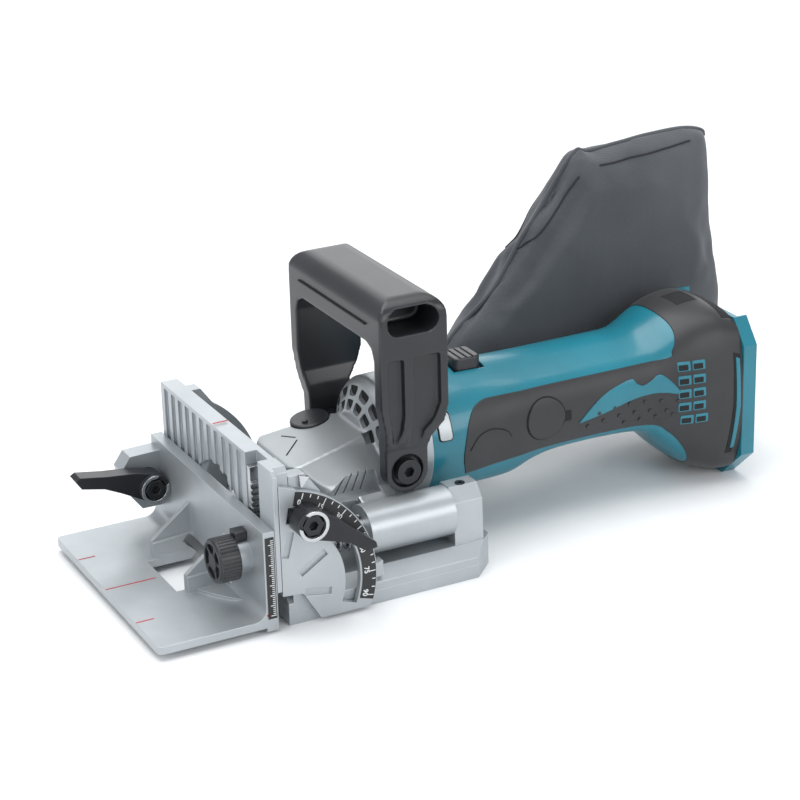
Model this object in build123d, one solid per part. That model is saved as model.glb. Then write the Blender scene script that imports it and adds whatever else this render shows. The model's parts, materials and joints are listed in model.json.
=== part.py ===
from build123d import *
import math
import os

# Biscuit joiner. Front (fence) is -Y, +Z is up, the height knob side is +X. Millimetres.
# Origin: underside of the base, median plane, FENCE_FACE_Y behind the upright fence's face.

os.makedirs("parts", exist_ok=True)

# Driving dimensions
BLADE_DIA = 100.0
BLADE_BORE = 22.0
BLADE_Z = 10.0            # middle of the kerf above the base's underside
SPINDLE_Y = 4.0
PLUNGE = 20.0
BASE_HALF = 65.5
BASE_FRONT = -52.0
BASE_REAR = 62.0
COVER_T = 7.0
SLAB_TOP = 16.5
FENCE_FACE_Y = -59.0
TILT_Z = 20.0             # the fence turns about the line Y=FENCE_FACE_Y, Z=TILT_Z
FENCE_TOP = 80.5
FENCE_REAR = -50.0
GUIDE_HALF = 69.0
GUIDE_FRONT = -119.5
GUIDE_TOP = 52.3
GUIDE_PLATE_FRONT = -65.0
FLANGE_LOW = 3.5
FLANGE_TOP = 7.5
ROD_X = 49.0
ROD_Z = 32.0
ROD_R = 6.0
SLEEVE_R = 12.5
SLEEVE_FRONT = -5.0
SLEEVE_REAR = 41.0
LOCK_R = 39.0             # radius of the sector's slot about the tilt line
LOCK_DEG = 68.2
SECTOR_R = 51.5
SECTOR_IN = 66.05
SECTOR_OUT = 69.5
MOTOR_Z = 54.0
BARREL_R = 31.3
HEAD_R = 34.0
BULKHEAD_Y = 20.0
RING_FRONT = 37.0
TEAL_FRONT = 44.0
BODY_REAR = 190.0
MOUNT_REAR = 232.0
HANDLE_TOP = 144.0
HANDLE_HALF = 51.0
KNOB_X = 47.0
KNOB_Z = 33.0
PINION_TEETH = 8
MODULE = 1.0
LEVER_HUB_R = 7.6
DRIVE_TEETH = 12
CROWN_TEETH = 36
RUN = 0.05                # radial running clearance of shafts in their bores
LEVER_Y = -73.0
LEVER_Z = 32.0
TURRET_X = -30.0
TURRET_Z = 24.0
TURRET_REAR = 36.0
STOP_TIP = TURRET_REAR + PLUNGE + 0.1
BUTTON_X = -20.0
BUTTON_Y = 4.0
HANDLE_FOOT_Y = 22.0
HANDLE_FOOT_Z = 56.0
BODY_HALF = 31.3
BODY_LOW = 23.0
BODY_TOP = 87.0
GRIP_Z = (35.0, 73.0)
GRIP_Y = (66.0, 186.0)
CAP_Y = 110.0
CAP_Z = 59.0
PLUG_Y = 52.0
PLUG_Z = 66.0
SCREW_Y = -54.0
SCREW_Z = 71.0
COVER_SCREWS = [(-58.0, -44.0), (58.0, -44.0), (-20.0, 58.0), (50.0, 50.0)]


def block(x, y, z):
    """Box from three (low, high) pairs."""
    middle = Pos((x[0] + x[1]) / 2, (y[0] + y[1]) / 2, (z[0] + z[1]) / 2)
    return middle * Box(x[1] - x[0], y[1] - y[0], z[1] - z[0])


def rod_x(x, y, z, r):
    return Pos((x[0] + x[1]) / 2, y, z) * Rot(0, 90, 0) * Cylinder(r, x[1] - x[0])


def rod_y(y, x, z, r):
    return Pos(x, (y[0] + y[1]) / 2, z) * Rot(90, 0, 0) * Cylinder(r, y[1] - y[0])


def rod_z(z, x, y, r):
    return Pos(x, y, (z[0] + z[1]) / 2) * Cylinder(r, z[1] - z[0])


def outline(points, radius=0):
    """Flat face from its corners, with every corner rounded by radius."""
    face = make_face(Polyline(*points, close=True))
    if radius:
        face = fillet(face.vertices(), radius)
    return face


def prism_x(points, x, radius=0):
    """Outline in Y and Z, from x[0] to x[1]."""
    return Pos(x[0], 0, 0) * extrude(Plane.YZ * outline(points, radius), x[1] - x[0])


def prism_y(points, y, radius=0):
    """Outline in X and Z, from y[0] to y[1]."""
    return Pos(0, y[1], 0) * extrude(Plane.XZ * outline(points, radius), y[1] - y[0])


def prism_z(points, z, radius=0):
    """Outline in X and Y, from z[0] to z[1]."""
    return Pos(0, 0, z[0]) * extrude(outline(points, radius), z[1] - z[0])


def hexagon_x(x, y, z, flat):
    face = Pos(y, z) * RegularPolygon(flat / 2, 6, major_radius=False)
    return Pos(x[0], 0, 0) * extrude(Plane.YZ * face, x[1] - x[0])


def stadium(r, y0, y1, z):
    """Round-ended block along Y between two arc centres."""
    body = block((-r, r), (y0, y1), z)
    return body + rod_z(z, 0, y0, r) + rod_z(z, 0, y1, r)


def both_sides(solid):
    return solid + mirror(solid, about=Plane.YZ)


def pair(solid):
    """Two separate solids, mirrored left and right."""
    return Compound(children=[solid, mirror(solid, about=Plane.YZ)])


def tilt_point(r, deg):
    """Y and Z of a point at radius r about the tilt line."""
    angle = math.radians(deg)
    return FENCE_FACE_Y + r * math.cos(angle), TILT_Z + r * math.sin(angle)


def tilt_band(r_in, r_out, deg0, deg1, x):
    """Ring piece about the tilt line."""
    ring = rod_x(x, FENCE_FACE_Y, TILT_Z, r_out) - rod_x(x, FENCE_FACE_Y, TILT_Z, r_in)
    middle = (deg0 + deg1) / 2
    far = 4 * r_out
    wedge = [(FENCE_FACE_Y, TILT_Z), tilt_point(far, deg0), tilt_point(far, middle), tilt_point(far, deg1)]
    return ring & prism_x(wedge, x)


LOCK_Y, LOCK_Z = tilt_point(LOCK_R, LOCK_DEG)


# ---------------------------------------------------------------- base
def base_plan():
    half = BASE_HALF
    cut = 12.0
    return [(-half, BASE_FRONT), (half, BASE_FRONT), (half, BASE_REAR - cut), (half - cut, BASE_REAR),
            (-half + cut, BASE_REAR), (-half, BASE_REAR - cut)]


def base_casting():
    edge = 59.0
    side_top = 11.0
    section = [(-BASE_HALF, COVER_T), (BASE_HALF, COVER_T), (BASE_HALF, side_top), (edge, SLAB_TOP),
               (-edge, SLAB_TOP), (-BASE_HALF, side_top)]
    slab = prism_y(section, (BASE_FRONT, BASE_REAR)) & prism_z(base_plan(), (COVER_T, SLAB_TOP))
    arm_plan = [(-49.5, COVER_T), (-49.5, 76.0), (-41.0, 76.0), (-33.5, 65.5), (-29.0, 30.0), (-29.0, COVER_T)]
    arm = prism_x(arm_plan, (58.0, BASE_HALF))
    front_foot = block((41.5, 58.5), (-49.5, -36.0), (COVER_T + 8, 44.0))
    rear_section = [(41.5, COVER_T + 8), (58.0, COVER_T + 8), (57.0, 38.0), (51.5, 44.5), (43.0, 44.5),
                    (41.5, 40.0)]
    rear_foot = prism_y(rear_section, (SLEEVE_REAR + 0.3, 57.0))
    guide_key = tilt_band(LOCK_R - 3.8, LOCK_R + 3.8, 44.0, 52.0, (BASE_HALF - 0.5, 69.0))
    cast_nub = prism_x([(-7.0, 14.0), (-7.0, 20.5), (-2.0, 22.0), (-2.0, 14.0)], (60.0, BASE_HALF))
    side = arm + front_foot + rear_foot + guide_key + cast_nub
    body = slab + both_sides(side)
    port = block((-64.0, -38.0), (56.0, 66.0), (COVER_T, 44.0))
    body += port
    body += block((TURRET_X - 7.0, TURRET_X + 4.0), (22.5, 25.5), (SLAB_TOP - 2, 28.0))
    body += rod_y((25.0, TURRET_REAR), TURRET_X, TURRET_Z, 2.5)
    body -= stadium(52.0, SPINDLE_Y - PLUNGE - 2, SPINDLE_Y, (COVER_T - 1, 13.4))
    body -= stadium(18.5, SPINDLE_Y - PLUNGE - 1, SPINDLE_Y, (13.0, 40.0))
    chute = block((-60.0, -30.0), (20.0, 60.0), (COVER_T - 1, 13.4))
    port_hollow = block((-61.0, -41.0), (58.0, 63.0), (COVER_T + 2, 41.0))
    body -= chute + port_hollow + rod_y((60.0, 67.0), -51.0, 26.0, 10.0)
    for side_x in (-ROD_X, ROD_X):
        body -= rod_y((-50.0, 58.0), side_x, ROD_Z, ROD_R + 0.02)
        body -= rod_z((ROD_Z + ROD_R - 1, 46.0), side_x, 49.0, 2.55)
    body -= rod_x((-70.0, 70.0), LOCK_Y, LOCK_Z, 4.02)
    for x, y in COVER_SCREWS:
        body -= rod_z((COVER_T - 1, 14.0), x, y, 2.02)
    pointer_y, pointer_z = tilt_point(56.0, 73.0)
    return body - rod_x((61.0, 66.0), pointer_y, pointer_z, 1.02)


def blade_cover():
    body = prism_z(base_plan(), (0.0, COVER_T))
    body -= stadium(52.0, SPINDLE_Y - PLUNGE - 2, SPINDLE_Y, (2.5, COVER_T + 1))
    for x, y in COVER_SCREWS:
        body -= rod_z((-1.0, COVER_T + 1), x, y, 2.25)
        body -= Pos(x, y, 1.25) * Cone(4.2, 2.25, 2.5)
    return body


def cover_screws():
    screws = []
    for x, y in COVER_SCREWS:
        head = Pos(x, y, 1.5) * Cone(3.6, 2.0, 2.0)
        screw = head + rod_z((2.4, 13.5), x, y, 2.0)
        screws.append(screw - Pos(x, y, 0.9) * Box(1.0, 5.0, 1.0) - Pos(x, y, 0.9) * Box(5.0, 1.0, 1.0))
    return Compound(children=screws)


def guide_rods():
    return pair(rod_y((-48.5, 57.0), ROD_X, ROD_Z, ROD_R))


def rod_set_screws():
    screw = rod_z((ROD_Z + ROD_R + 0.1, 44.9), ROD_X, 49.0, 2.5)
    return pair(screw - rod_z((42.5, 46.0), ROD_X, 49.0, 1.2))


def return_springs():
    wire_r = 0.8
    coil_r = 7.4
    length = SLEEVE_FRONT + 36.0 - 2 * wire_r - 0.6
    path = Helix(pitch=5.0, height=length, radius=coil_r)
    wire = sweep(Plane(origin=path @ 0, z_dir=path % 0) * Circle(wire_r), path, is_frenet=True)
    spring = Pos(ROD_X, -36.0 + wire_r + 0.3, ROD_Z) * Rot(-90, 0, 0) * wire
    return pair(spring)


def tilt_bolts():
    near = rod_x((54.0, 80.0), LOCK_Y, LOCK_Z, 4.0) + hexagon_x((53.5, 57.9), LOCK_Y, LOCK_Z, 8.0)
    near += hexagon_x((76.4, 81.0), LOCK_Y, LOCK_Z, 9.4)
    near -= hexagon_x((78.0, 82.0), LOCK_Y, LOCK_Z, 4.5)
    far = rod_x((-72.0, -54.0), LOCK_Y, LOCK_Z, 4.0) + hexagon_x((-57.9, -53.5), LOCK_Y, LOCK_Z, 8.0)
    far += rod_x((-77.0, -70.0), LOCK_Y, LOCK_Z, 7.0)
    far -= hexagon_x((-78.0, -74.0), LOCK_Y, LOCK_Z, 6.0)
    return Compound(children=[near, far])


def index_pointer():
    tip_y, tip_z = tilt_point(52.3, 73.0)
    top_y, top_z = tilt_point(58.0, 73.0)
    needle = [(tip_y - 0.5, tip_z + 0.2), (tip_y + 0.5, tip_z - 0.1), (top_y + 2.5, top_z - 0.8),
              (top_y - 2.5, top_z + 0.8)]
    pin_y, pin_z = tilt_point(56.0, 73.0)
    return prism_x(needle, (BASE_HALF + 0.02, BASE_HALF + 2.0)) + rod_x((62.0, BASE_HALF + 1.0), pin_y, pin_z, 1.0)


def dust_nozzle():
    y0 = 66.05
    plate = block((-64.0, -38.0), (y0, y0 + 3.0), (8.0, 44.0))
    lean = Pos(-51.0, y0 + 1.0, 26.0) * Rot(25, 0, 0)
    tube = lean * Pos(0, 14.0, 0) * Rot(90, 0, 0) * Cylinder(13.0, 28.0)
    bore = lean * Pos(0, 14.0, 0) * Rot(90, 0, 0) * Cylinder(10.5, 40.0)
    trim = block((-80.0, -20.0), (y0, 110.0), (-20.0, 80.0))
    return ((plate + tube) & trim) - bore


def nozzle_ring(r_in, r_out, start, length):
    lean = Pos(-51.0, 67.05, 26.0) * Rot(25, 0, 0)
    at = lean * Pos(0, start + length / 2, 0) * Rot(90, 0, 0)
    return at * Cylinder(r_out, length) - at * Cylinder(r_in, length + 2)


def bag_collar():
    band = nozzle_ring(13.2, 16.0, 12.0, 9.0)
    lug = Pos(-51.0, 67.05, 26.0) * Rot(25, 0, 0) * Pos(-17.5, 16.5, 0) * Box(6.0, 7.0, 8.0)
    return band + (lug - nozzle_ring(0.0, 14.5, 10.0, 13.0))


def dust_bag():
    points = [(101.0, 24.0), (88.0, 52.5), (104.0, 84.0), (172.0, 164.0), (184.0, 170.0), (252.0, 171.0),
              (262.0, 164.0),
              (274.0, 60.0), (262.0, 44.0), (150.0, 26.0)]
    body = prism_x(points, (-90.0, -50.0))
    return fillet(body.edges().filter_by(Axis.X), 7.0)


# ---------------------------------------------------------------- fence
def fence_plate():
    low = TILT_Z + 0.5
    plate = block((-66.0, 38.2), (FENCE_FACE_Y, -53.0), (low, FENCE_TOP))
    top_rib = block((-66.0, 38.2), (FENCE_FACE_Y, FENCE_REAR), (FENCE_TOP - 5.0, FENCE_TOP))
    channel_back = block((38.0, 53.2), (-53.0, FENCE_REAR), (low, FENCE_TOP))
    pillar = block((53.0, SECTOR_IN - 0.05), (FENCE_FACE_Y, FENCE_REAR), (low, FENCE_TOP + 0.8))
    pillar += block((53.0, 69.4), (FENCE_FACE_Y, -56.7), (low, FENCE_TOP + 0.8))
    pillar = chamfer(pillar.edges().filter_by(Axis.Y).sort_by(Axis.Z)[-2:], 2.5)
    far_pillar = block((-66.0, -56.0), (FENCE_FACE_Y, FENCE_REAR), (low, FENCE_TOP))
    body = plate + top_rib + channel_back + pillar + far_pillar
    window = block((-29.0, 29.0), (-60.0, -40.0), (low - 1, 44.0))
    arch = rod_y((-60.0, -40.0), 0.0, 31.5, 29.0) & block((-29.0, 29.0), (-60.0, -40.0), (low, 62.0))
    body -= window + arch
    pitch = 9.0
    first = -62.0
    for k in range(11):
        x = first + k * pitch
        body -= block((x, x + 5.5), (-60.0, FENCE_FACE_Y + 1.3), (low + 4, FENCE_TOP - 2.0))
    body -= rod_x((49.5, 53.3), SCREW_Y, SCREW_Z, 3.0) + rod_x((53.0, 68.0), SCREW_Y, SCREW_Z, 2.02)
    return body - rod_x((-68.0, -54.5), SCREW_Y, SCREW_Z, 2.02)


def sector_plate(near):
    x = (SECTOR_IN, SECTOR_OUT)
    left = -56.4
    trim = [(left, 18.0), (-46.0, 17.0), (-37.0, 2.0), (-12.0, 2.0), (5.0, 20.0), (5.0, 90.0), (left, 90.0)]
    body = rod_x(x, FENCE_FACE_Y, TILT_Z, SECTOR_R) & prism_x(trim, x)
    body += prism_x([(left, 55.0), (-49.0, 55.0), (-48.0, 71.0), (left, 74.0)], x)
    body -= tilt_band(LOCK_R - 4.0, LOCK_R + 4.0, -20.0, 80.5, (x[0] - 1, x[1] + 1))
    body -= rod_x((60.0, 67.5), SCREW_Y, SCREW_Z, 2.02)
    if near:
        for deg, r0, r1 in ((75.0, 18.0, 31.0), (32.0, 14.0, 30.0), (-10.0, 14.0, 28.0)):
            y, z = tilt_point((r0 + r1) / 2, deg)
            body -= Pos(x[1], y, z) * Rot(deg, 0, 0) * Box(2.4, r1 - r0, 3.6)
    return body


def angle_scale():
    return tilt_band(44.0, 51.0, -16.5, 77.5, (SECTOR_OUT, SECTOR_OUT + 0.4))


def rack():
    pitch = math.pi * MODULE
    pitch_x = KNOB_X - PINION_TEETH * MODULE / 2
    bar = block((38.25, pitch_x - 1.1), (-58.5, -53.05), (24.0, 74.0))
    count = int((70.0 - 26.0) / pitch)
    first = KNOB_Z - math.floor((KNOB_Z - 26.0) / pitch) * pitch + pitch / 2 - pitch
    for k in range(count):
        z = first + k * pitch
        if z > 25.5:
            tooth = [(pitch_x - 1.2, z - 0.75), (pitch_x + 0.8, z - 0.3), (pitch_x + 0.8, z + 0.3),
                     (pitch_x - 1.2, z + 0.75)]
            bar += prism_y(tooth, (-58.5, -53.05))
    return bar


def sector_screws():
    near = rod_x((52.0, 67.4), SCREW_Y, SCREW_Z, 2.0) + rod_x((49.8, 52.9), SCREW_Y, SCREW_Z, 2.9)
    return Compound(children=[near, rod_x((-67.4, -55.0), SCREW_Y, SCREW_Z, 2.0)])


# ---------------------------------------------------------------- angle guide
def blade_path(deg):
    """Room the plunged blade needs, seen from the guide when the fence leans by deg."""
    reach = rod_z((BLADE_Z - 2.5, BLADE_Z + 2.5), 0.0, SPINDLE_Y - PLUNGE, BLADE_DIA / 2 + 0.6)
    about = Pos(0, FENCE_FACE_Y, TILT_Z) * Rot(-deg, 0, 0) * Pos(0, -FENCE_FACE_Y, -TILT_Z)
    return about * reach


def angle_guide():
    rear = FENCE_FACE_Y - 0.1
    plate = block((-GUIDE_HALF, GUIDE_HALF), (GUIDE_PLATE_FRONT, rear), (1.5, GUIDE_TOP))
    flange = block((-GUIDE_HALF, GUIDE_HALF), (GUIDE_FRONT, rear), (FLANGE_LOW, FLANGE_TOP))
    flange = fillet(flange.edges().filter_by(Axis.Z).group_by(Axis.Y)[0], 3.0)
    body = plate + flange
    front = GUIDE_PLATE_FRONT
    fillet_r = 6.0
    cove = block((-GUIDE_HALF, GUIDE_HALF), (front - fillet_r, front), (FLANGE_TOP, FLANGE_TOP + fillet_r))
    cove -= rod_x((-70.0, 70.0), front - fillet_r, FLANGE_TOP + fillet_r, fillet_r)
    body += cove
    pad = rod_z((FLANGE_LOW, FLANGE_TOP + 1.5), 0.0, -22.0, 64.0)
    body += pad & block((-GUIDE_HALF, GUIDE_HALF), (-90.0, front), (0.0, 20.0))
    for x in (-22.0, 22.0):
        wedge = [(front + 1, FLANGE_TOP - 1), (-86.0, FLANGE_TOP - 1), (-86.0, 17.0), (front + 1, 34.0)]
        body += prism_x(wedge, (x - 1.3, x + 1.3))
        plinth = [(front + 1, FLANGE_TOP - 1), (-86.0, FLANGE_TOP - 1), (-86.0, 16.0), (front + 1, 17.5)]
        body += prism_x(plinth, (x - 2.6, x + 2.6))
    body += rod_y((-71.0, front + 1), KNOB_X, KNOB_Z, 8.5)
    lug_outline = [(front + 1, 17.5), (-76.0, 17.5), (-83.0, 27.0), (-86.0, 40.0), (-81.0, 47.0),
                   (front + 1, 47.5)]
    body += prism_x(lug_outline, (-69.0, -58.2))
    body -= block((-19.0, 19.0), (-90.0, rear + 1), (1.0, 14.5))
    heel = [(rear + 1, 0.0), (rear + 1, TILT_Z - 8.2), (rear - 0.1, TILT_Z - 9.3), (rear - 9.5, TILT_Z - 18.7),
            (rear - 9.5, 0.0)]
    body -= prism_x(heel, (-66.0, 66.0))
    for deg in (0.0, 11.0, 22.5, 34.0, 45.0):
        body -= blade_path(deg)
    body -= rod_y((-72.0, rear + 1), KNOB_X, KNOB_Z, 2.5 + RUN)
    body -= rod_x((-70.0, -57.0), LEVER_Y, LEVER_Z, 3.02)
    return body


def height_scale():
    return block((GUIDE_HALF, GUIDE_HALF + 0.35), (-64.2, -59.8), (8.0, 49.5))


def knob_stop():
    foot_z = KNOB_Z + 8.6
    body = block((KNOB_X - 3.5, KNOB_X + 3.5), (-71.0, GUIDE_PLATE_FRONT - 0.02), (foot_z, foot_z + 5.0))
    return fillet(body.edges().filter_by(Axis.Y), 1.0)


def clamp_stud():
    stud = rod_x((-73.0, -49.0), LEVER_Y, LEVER_Z, 3.0) + hexagon_x((-73.0, -69.05), LEVER_Y, LEVER_Z, 10.0)
    stud += hexagon_x((-51.2, -45.5), LEVER_Y, LEVER_Z, 9.4)
    return stud - hexagon_x((-48.0, -45.0), LEVER_Y, LEVER_Z, 4.5)


# ---------------------------------------------------------------- height knob and levers
def height_knob():
    y = (-82.0, -71.3)
    body = rod_y(y, KNOB_X, KNOB_Z, 11.0)
    body = chamfer(body.edges().group_by(Axis.Y)[0], 1.0)
    for k in range(36):
        deg = k * 10.0
        groove = Pos(KNOB_X, -76.0, KNOB_Z) * Rot(0, deg, 0) * Pos(11.2, 0, 0) * Box(1.4, 9.0, 0.9)
        body -= groove
    dish = rod_y((-82.5, -80.0), KNOB_X, KNOB_Z, 8.6) - rod_y((-83.0, -79.0), KNOB_X, KNOB_Z, 4.0)
    body -= dish
    for k in range(5):
        rib = Pos(KNOB_X, -80.7, KNOB_Z) * Rot(0, k * 72.0, 0) * Pos(6.2, 0, 0) * Box(5.2, 1.6, 1.8)
        body += rib
    return body - rod_y((-79.0, -71.0), KNOB_X, KNOB_Z, 2.5)


def pinion_shaft():
    shaft = rod_y((-79.0, -53.6), KNOB_X, KNOB_Z, 2.5)
    pitch_r = PINION_TEETH * MODULE / 2
    for k in range(PINION_TEETH):
        deg = k * 360.0 / PINION_TEETH
        tooth = [(2.0, -0.85), (pitch_r + 0.8, -0.3), (pitch_r + 0.8, 0.3), (2.0, 0.85)]
        shaft += Pos(KNOB_X, 0, KNOB_Z) * Rot(0, deg, 0) * prism_y(tooth, (-58.4, -53.6))
    return shaft


def lever(tip_deg, length, x, bulge_up):
    """Cam lever in the YZ plane with its hub at the origin."""
    side = 1 if bulge_up else -1
    points = [(0, LEVER_HUB_R), (0.30 * length, 7.2), (0.62 * length, 5.0), (length - 2, 3.6), (length, 1.6),
              (length - 4, -2.2), (0.62 * length, -1.6), (0.40 * length, -3.4), (0, -LEVER_HUB_R)]
    points = [(u, v * side) for u, v in points]
    mid = (x[0] + x[1]) / 2
    half = (x[1] - x[0]) / 2
    arm = prism_x(points, (mid - half * 0.75, mid + half * 0.75))
    hub = rod_x(x, 0, 0, LEVER_HUB_R)
    return Rot(tip_deg, 0, 0) * (hub + arm)


def height_lock_lever():
    x = (-58.1, -46.5)
    body = Pos(0, LEVER_Y, LEVER_Z) * lever(165.0, 42.5, x, False)
    body -= rod_x((-59.0, -45.0), LEVER_Y, LEVER_Z, 3.0 + RUN)
    return body - rod_x((-51.4, -45.0), LEVER_Y, LEVER_Z, 5.6)


def angle_lock_lever():
    x = (70.25, 81.0)
    body = Pos(0, LOCK_Y, LOCK_Z) * lever(-32.4, 38.0, x, True)
    body -= rod_x((69.0, 82.0), LOCK_Y, LOCK_Z, 4.0 + RUN)
    return body - rod_x((76.2, 82.0), LOCK_Y, LOCK_Z, 5.6)


def snap_ring(x, y, z, gap_deg):
    ring = rod_x(x, y, z, 7.5) - rod_x((x[0] - 1, x[1] + 1), y, z, 5.9)
    gap = Pos((x[0] + x[1]) / 2, y, z) * Rot(gap_deg, 0, 0) * Pos(0, 6.0, 0) * Box(4.0, 8.0, 7.0)
    return ring - gap


# ---------------------------------------------------------------- motor carriage
def gear_housing():
    head = rod_z((18.0, 66.0), 0, 0, HEAD_R)
    head = fillet(head.edges().group_by(Axis.Z)[-1], 13.0)
    neck = block((-HEAD_R, HEAD_R), (0.0, BULKHEAD_Y + 2), (18.0, 50.0))
    barrel_r = BARREL_R + 2.6
    barrel = rod_y((BULKHEAD_Y, RING_FRONT - 0.05), 0, MOTOR_Z, barrel_r)
    barrel = chamfer(barrel.edges().group_by(Axis.Y)[0], 2.0)
    wing = block((-ROD_X, ROD_X), (0.0, 19.0), (26.0, 38.0))
    body = head + neck + barrel + wing
    boss = rod_x((-38.0, 38.0), HANDLE_FOOT_Y, HANDLE_FOOT_Z, 9.0)
    body += boss - rod_x((-29.0, 29.0), HANDLE_FOOT_Y, HANDLE_FOOT_Z, 12.0)
    body -= rod_z((22.0, 48.0), 0, SPINDLE_Y, 28.5)
    body -= rod_z((47.0, 57.5), 0, SPINDLE_Y, 11.05)
    body -= rod_z((17.0, 23.0), 0, SPINDLE_Y, 17.55)
    body -= rod_y((SPINDLE_Y + 11.5, 31.0), 0, MOTOR_Z, 10.2)
    body -= rod_y((30.5, 40.0), 0, MOTOR_Z, 10.95)
    air = rod_y((BULKHEAD_Y + 3, 40.0), 0, MOTOR_Z, 29.5) - rod_y((BULKHEAD_Y, 40.0), 0, MOTOR_Z, 14.0)
    body -= air & block((-40.0, 40.0), (BULKHEAD_Y, 40.0), (MOTOR_Z + 1, 100.0))
    window_rows = 2
    windows_in_row = 6
    for row in range(window_rows):
        for k in range(windows_in_row):
            deg = 14.0 + k * 152.0 / (windows_in_row - 1)
            at = Pos(0, BULKHEAD_Y, MOTOR_Z) * Rot(0, -deg, 0) * Pos(20.0 + 7.0 * row, 0, 0)
            body -= at * Box(5.4, 8.0, 7.0 + 2.2 * row)
    for side_x in (-ROD_X, ROD_X):
        body -= rod_y((-10.0, 60.0), side_x, ROD_Z, SLEEVE_R)
    body -= rod_z((48.0, 70.0), BUTTON_X, BUTTON_Y, 7.55)
    bolt_hole = rod_x((28.0, 40.0), HANDLE_FOOT_Y, HANDLE_FOOT_Z, 3.02)
    return body - both_sides(bolt_hole)


def bearing_retainer():
    body = rod_z((13.9, 22.0), 0, SPINDLE_Y, 17.5) + rod_z((18.6, 22.0), 0, SPINDLE_Y, 17.5)
    return body - rod_z((13.0, 23.0), 0, SPINDLE_Y, 10.6)


def spindle_bearings():
    lower = rod_z((23.0, 33.0), 0, SPINDLE_Y, 16.0) - rod_z((22.0, 34.0), 0, SPINDLE_Y, 6.0 + RUN)
    upper = rod_z((50.2, 57.2), 0, SPINDLE_Y, 11.0) - rod_z((49.0, 58.0), 0, SPINDLE_Y, 4.0 + RUN)
    return Compound(children=[lower, upper])


def armature_bearings():
    front = rod_y((30.6, 36.6), 0, MOTOR_Z, 10.9) - rod_y((30.0, 37.0), 0, MOTOR_Z, 4.0 + RUN)
    rear = rod_y((122.0, 128.0), 0, MOTOR_Z, 9.5) - rod_y((121.0, 129.0), 0, MOTOR_Z, 4.0 + RUN)
    return Compound(children=[front, rear])


def motor_ring():
    """Ring between gear housing and motor housing, with the depth stop's arm under its far side."""
    rear = TEAL_FRONT - 0.05
    hollow = rod_y((RING_FRONT - 1, TEAL_FRONT + 1), 0, MOTOR_Z, 27.5)
    bridge = prism_y([(-35.0, 31.5), (-24.0, 31.4), (-17.0, 27.6), (-17.0, 34.0), (-26.0, 42.0), (-35.0, 34.8)],
                     (RING_FRONT, rear))
    stop_y = STOP_TIP + 4.0
    arm = block((-35.0, -25.5), (RING_FRONT, stop_y + 7.0), (31.5, 34.8))
    lug = block((-35.0, -25.5), (stop_y, stop_y + 7.0), (19.0, 34.0))
    body = rod_y((RING_FRONT, rear), 0, MOTOR_Z, BARREL_R + 1.0) + bridge - hollow + arm + lug
    return body - rod_y((stop_y - 1, stop_y + 8.0), TURRET_X, TURRET_Z, 2.52)


def depth_stop_screw():
    rod = rod_y((STOP_TIP, STOP_TIP + 20.0), TURRET_X, TURRET_Z, 2.5)
    return rod + rod_y((STOP_TIP + 14.0, STOP_TIP + 18.0), TURRET_X, TURRET_Z, 4.2)


def body_shape(inset):
    """Outer skin of the motor housing, or its hollow when inset is the wall."""
    front = TEAL_FRONT - (1.0 if inset else 0.0)
    barrel = rod_y((front, 84.0), 0, MOTOR_Z, BARREL_R - inset)
    half = BODY_HALF - inset
    low = BODY_LOW + inset
    top = BODY_TOP - inset
    shape = [(-half, low), (half, low), (half, top), (-half, top)]
    handle = prism_y(shape, (74.0, BODY_REAR - inset), 14.0)
    return barrel + handle


def housing_half(side):
    wall = 2.6
    body = body_shape(0.0) - body_shape(wall)
    band = block((-40, 40), GRIP_Y, GRIP_Z)
    body -= band - block((-BODY_HALF + 1.6, BODY_HALF - 1.6), GRIP_Y, GRIP_Z)
    body -= rod_x((-40, 40), CAP_Y, CAP_Z, 9.3)
    body -= rod_x((-40, -20), PLUG_Y, PLUG_Z, 4.05) + rod_x((20, 40), PLUG_Y, PLUG_Z, 4.05)
    body -= block((-8.2, 8.2), (62.5, 85.5), (80.0, 90.0))
    near = block((0.02, 40.0), (40.0, 200.0), (0.0, 100.0))
    return body & (near if side > 0 else mirror(near, about=Plane.YZ))


def grip(side):
    outer = block((BODY_HALF - 1.55, BODY_HALF + 0.9), (GRIP_Y[0] + 0.1, GRIP_Y[1] - 0.1),
                  (GRIP_Z[0] + 0.1, GRIP_Z[1] - 0.1))
    outer = fillet(outer.edges().filter_by(Axis.X), 8.0)
    outer = chamfer(outer.edges().group_by(Axis.X)[-1], 0.8)
    outer -= rod_x((20.0, 40.0), CAP_Y, CAP_Z, 10.3)
    outer -= rod_y((40.0, 84.5), 0, MOTOR_Z, BARREL_R + 0.02)
    return outer if side > 0 else mirror(outer, about=Plane.YZ)


def battery_mount():
    rear = MOUNT_REAR - 8.0
    side = [(BODY_REAR + 0.05, 23.0), (205.0, 13.0), (rear, 3.0), (rear, 90.0), (204.0, 92.0),
            (BODY_REAR + 0.05, 88.0)]
    body = prism_x(side, (-35.5, 35.5))
    cut = [(-21.0, 1.0), (21.0, 1.0), (36.0, 15.0), (36.0, 76.0), (26.0, 93.0), (-26.0, 93.0), (-36.0, 76.0),
           (-36.0, 15.0)]
    body &= prism_y(cut, (BODY_REAR, rear))
    body -= block((-30.0, 30.0), (BODY_REAR - 1, rear - 6.0), (30.0, 80.0))
    body -= block((-11.8, 11.8), (rear - 8.0, rear + 1), (34.0, 62.0))
    return body - block((-8.0, 8.0), (204.0, 214.0), (80.0, 100.0))


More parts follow.
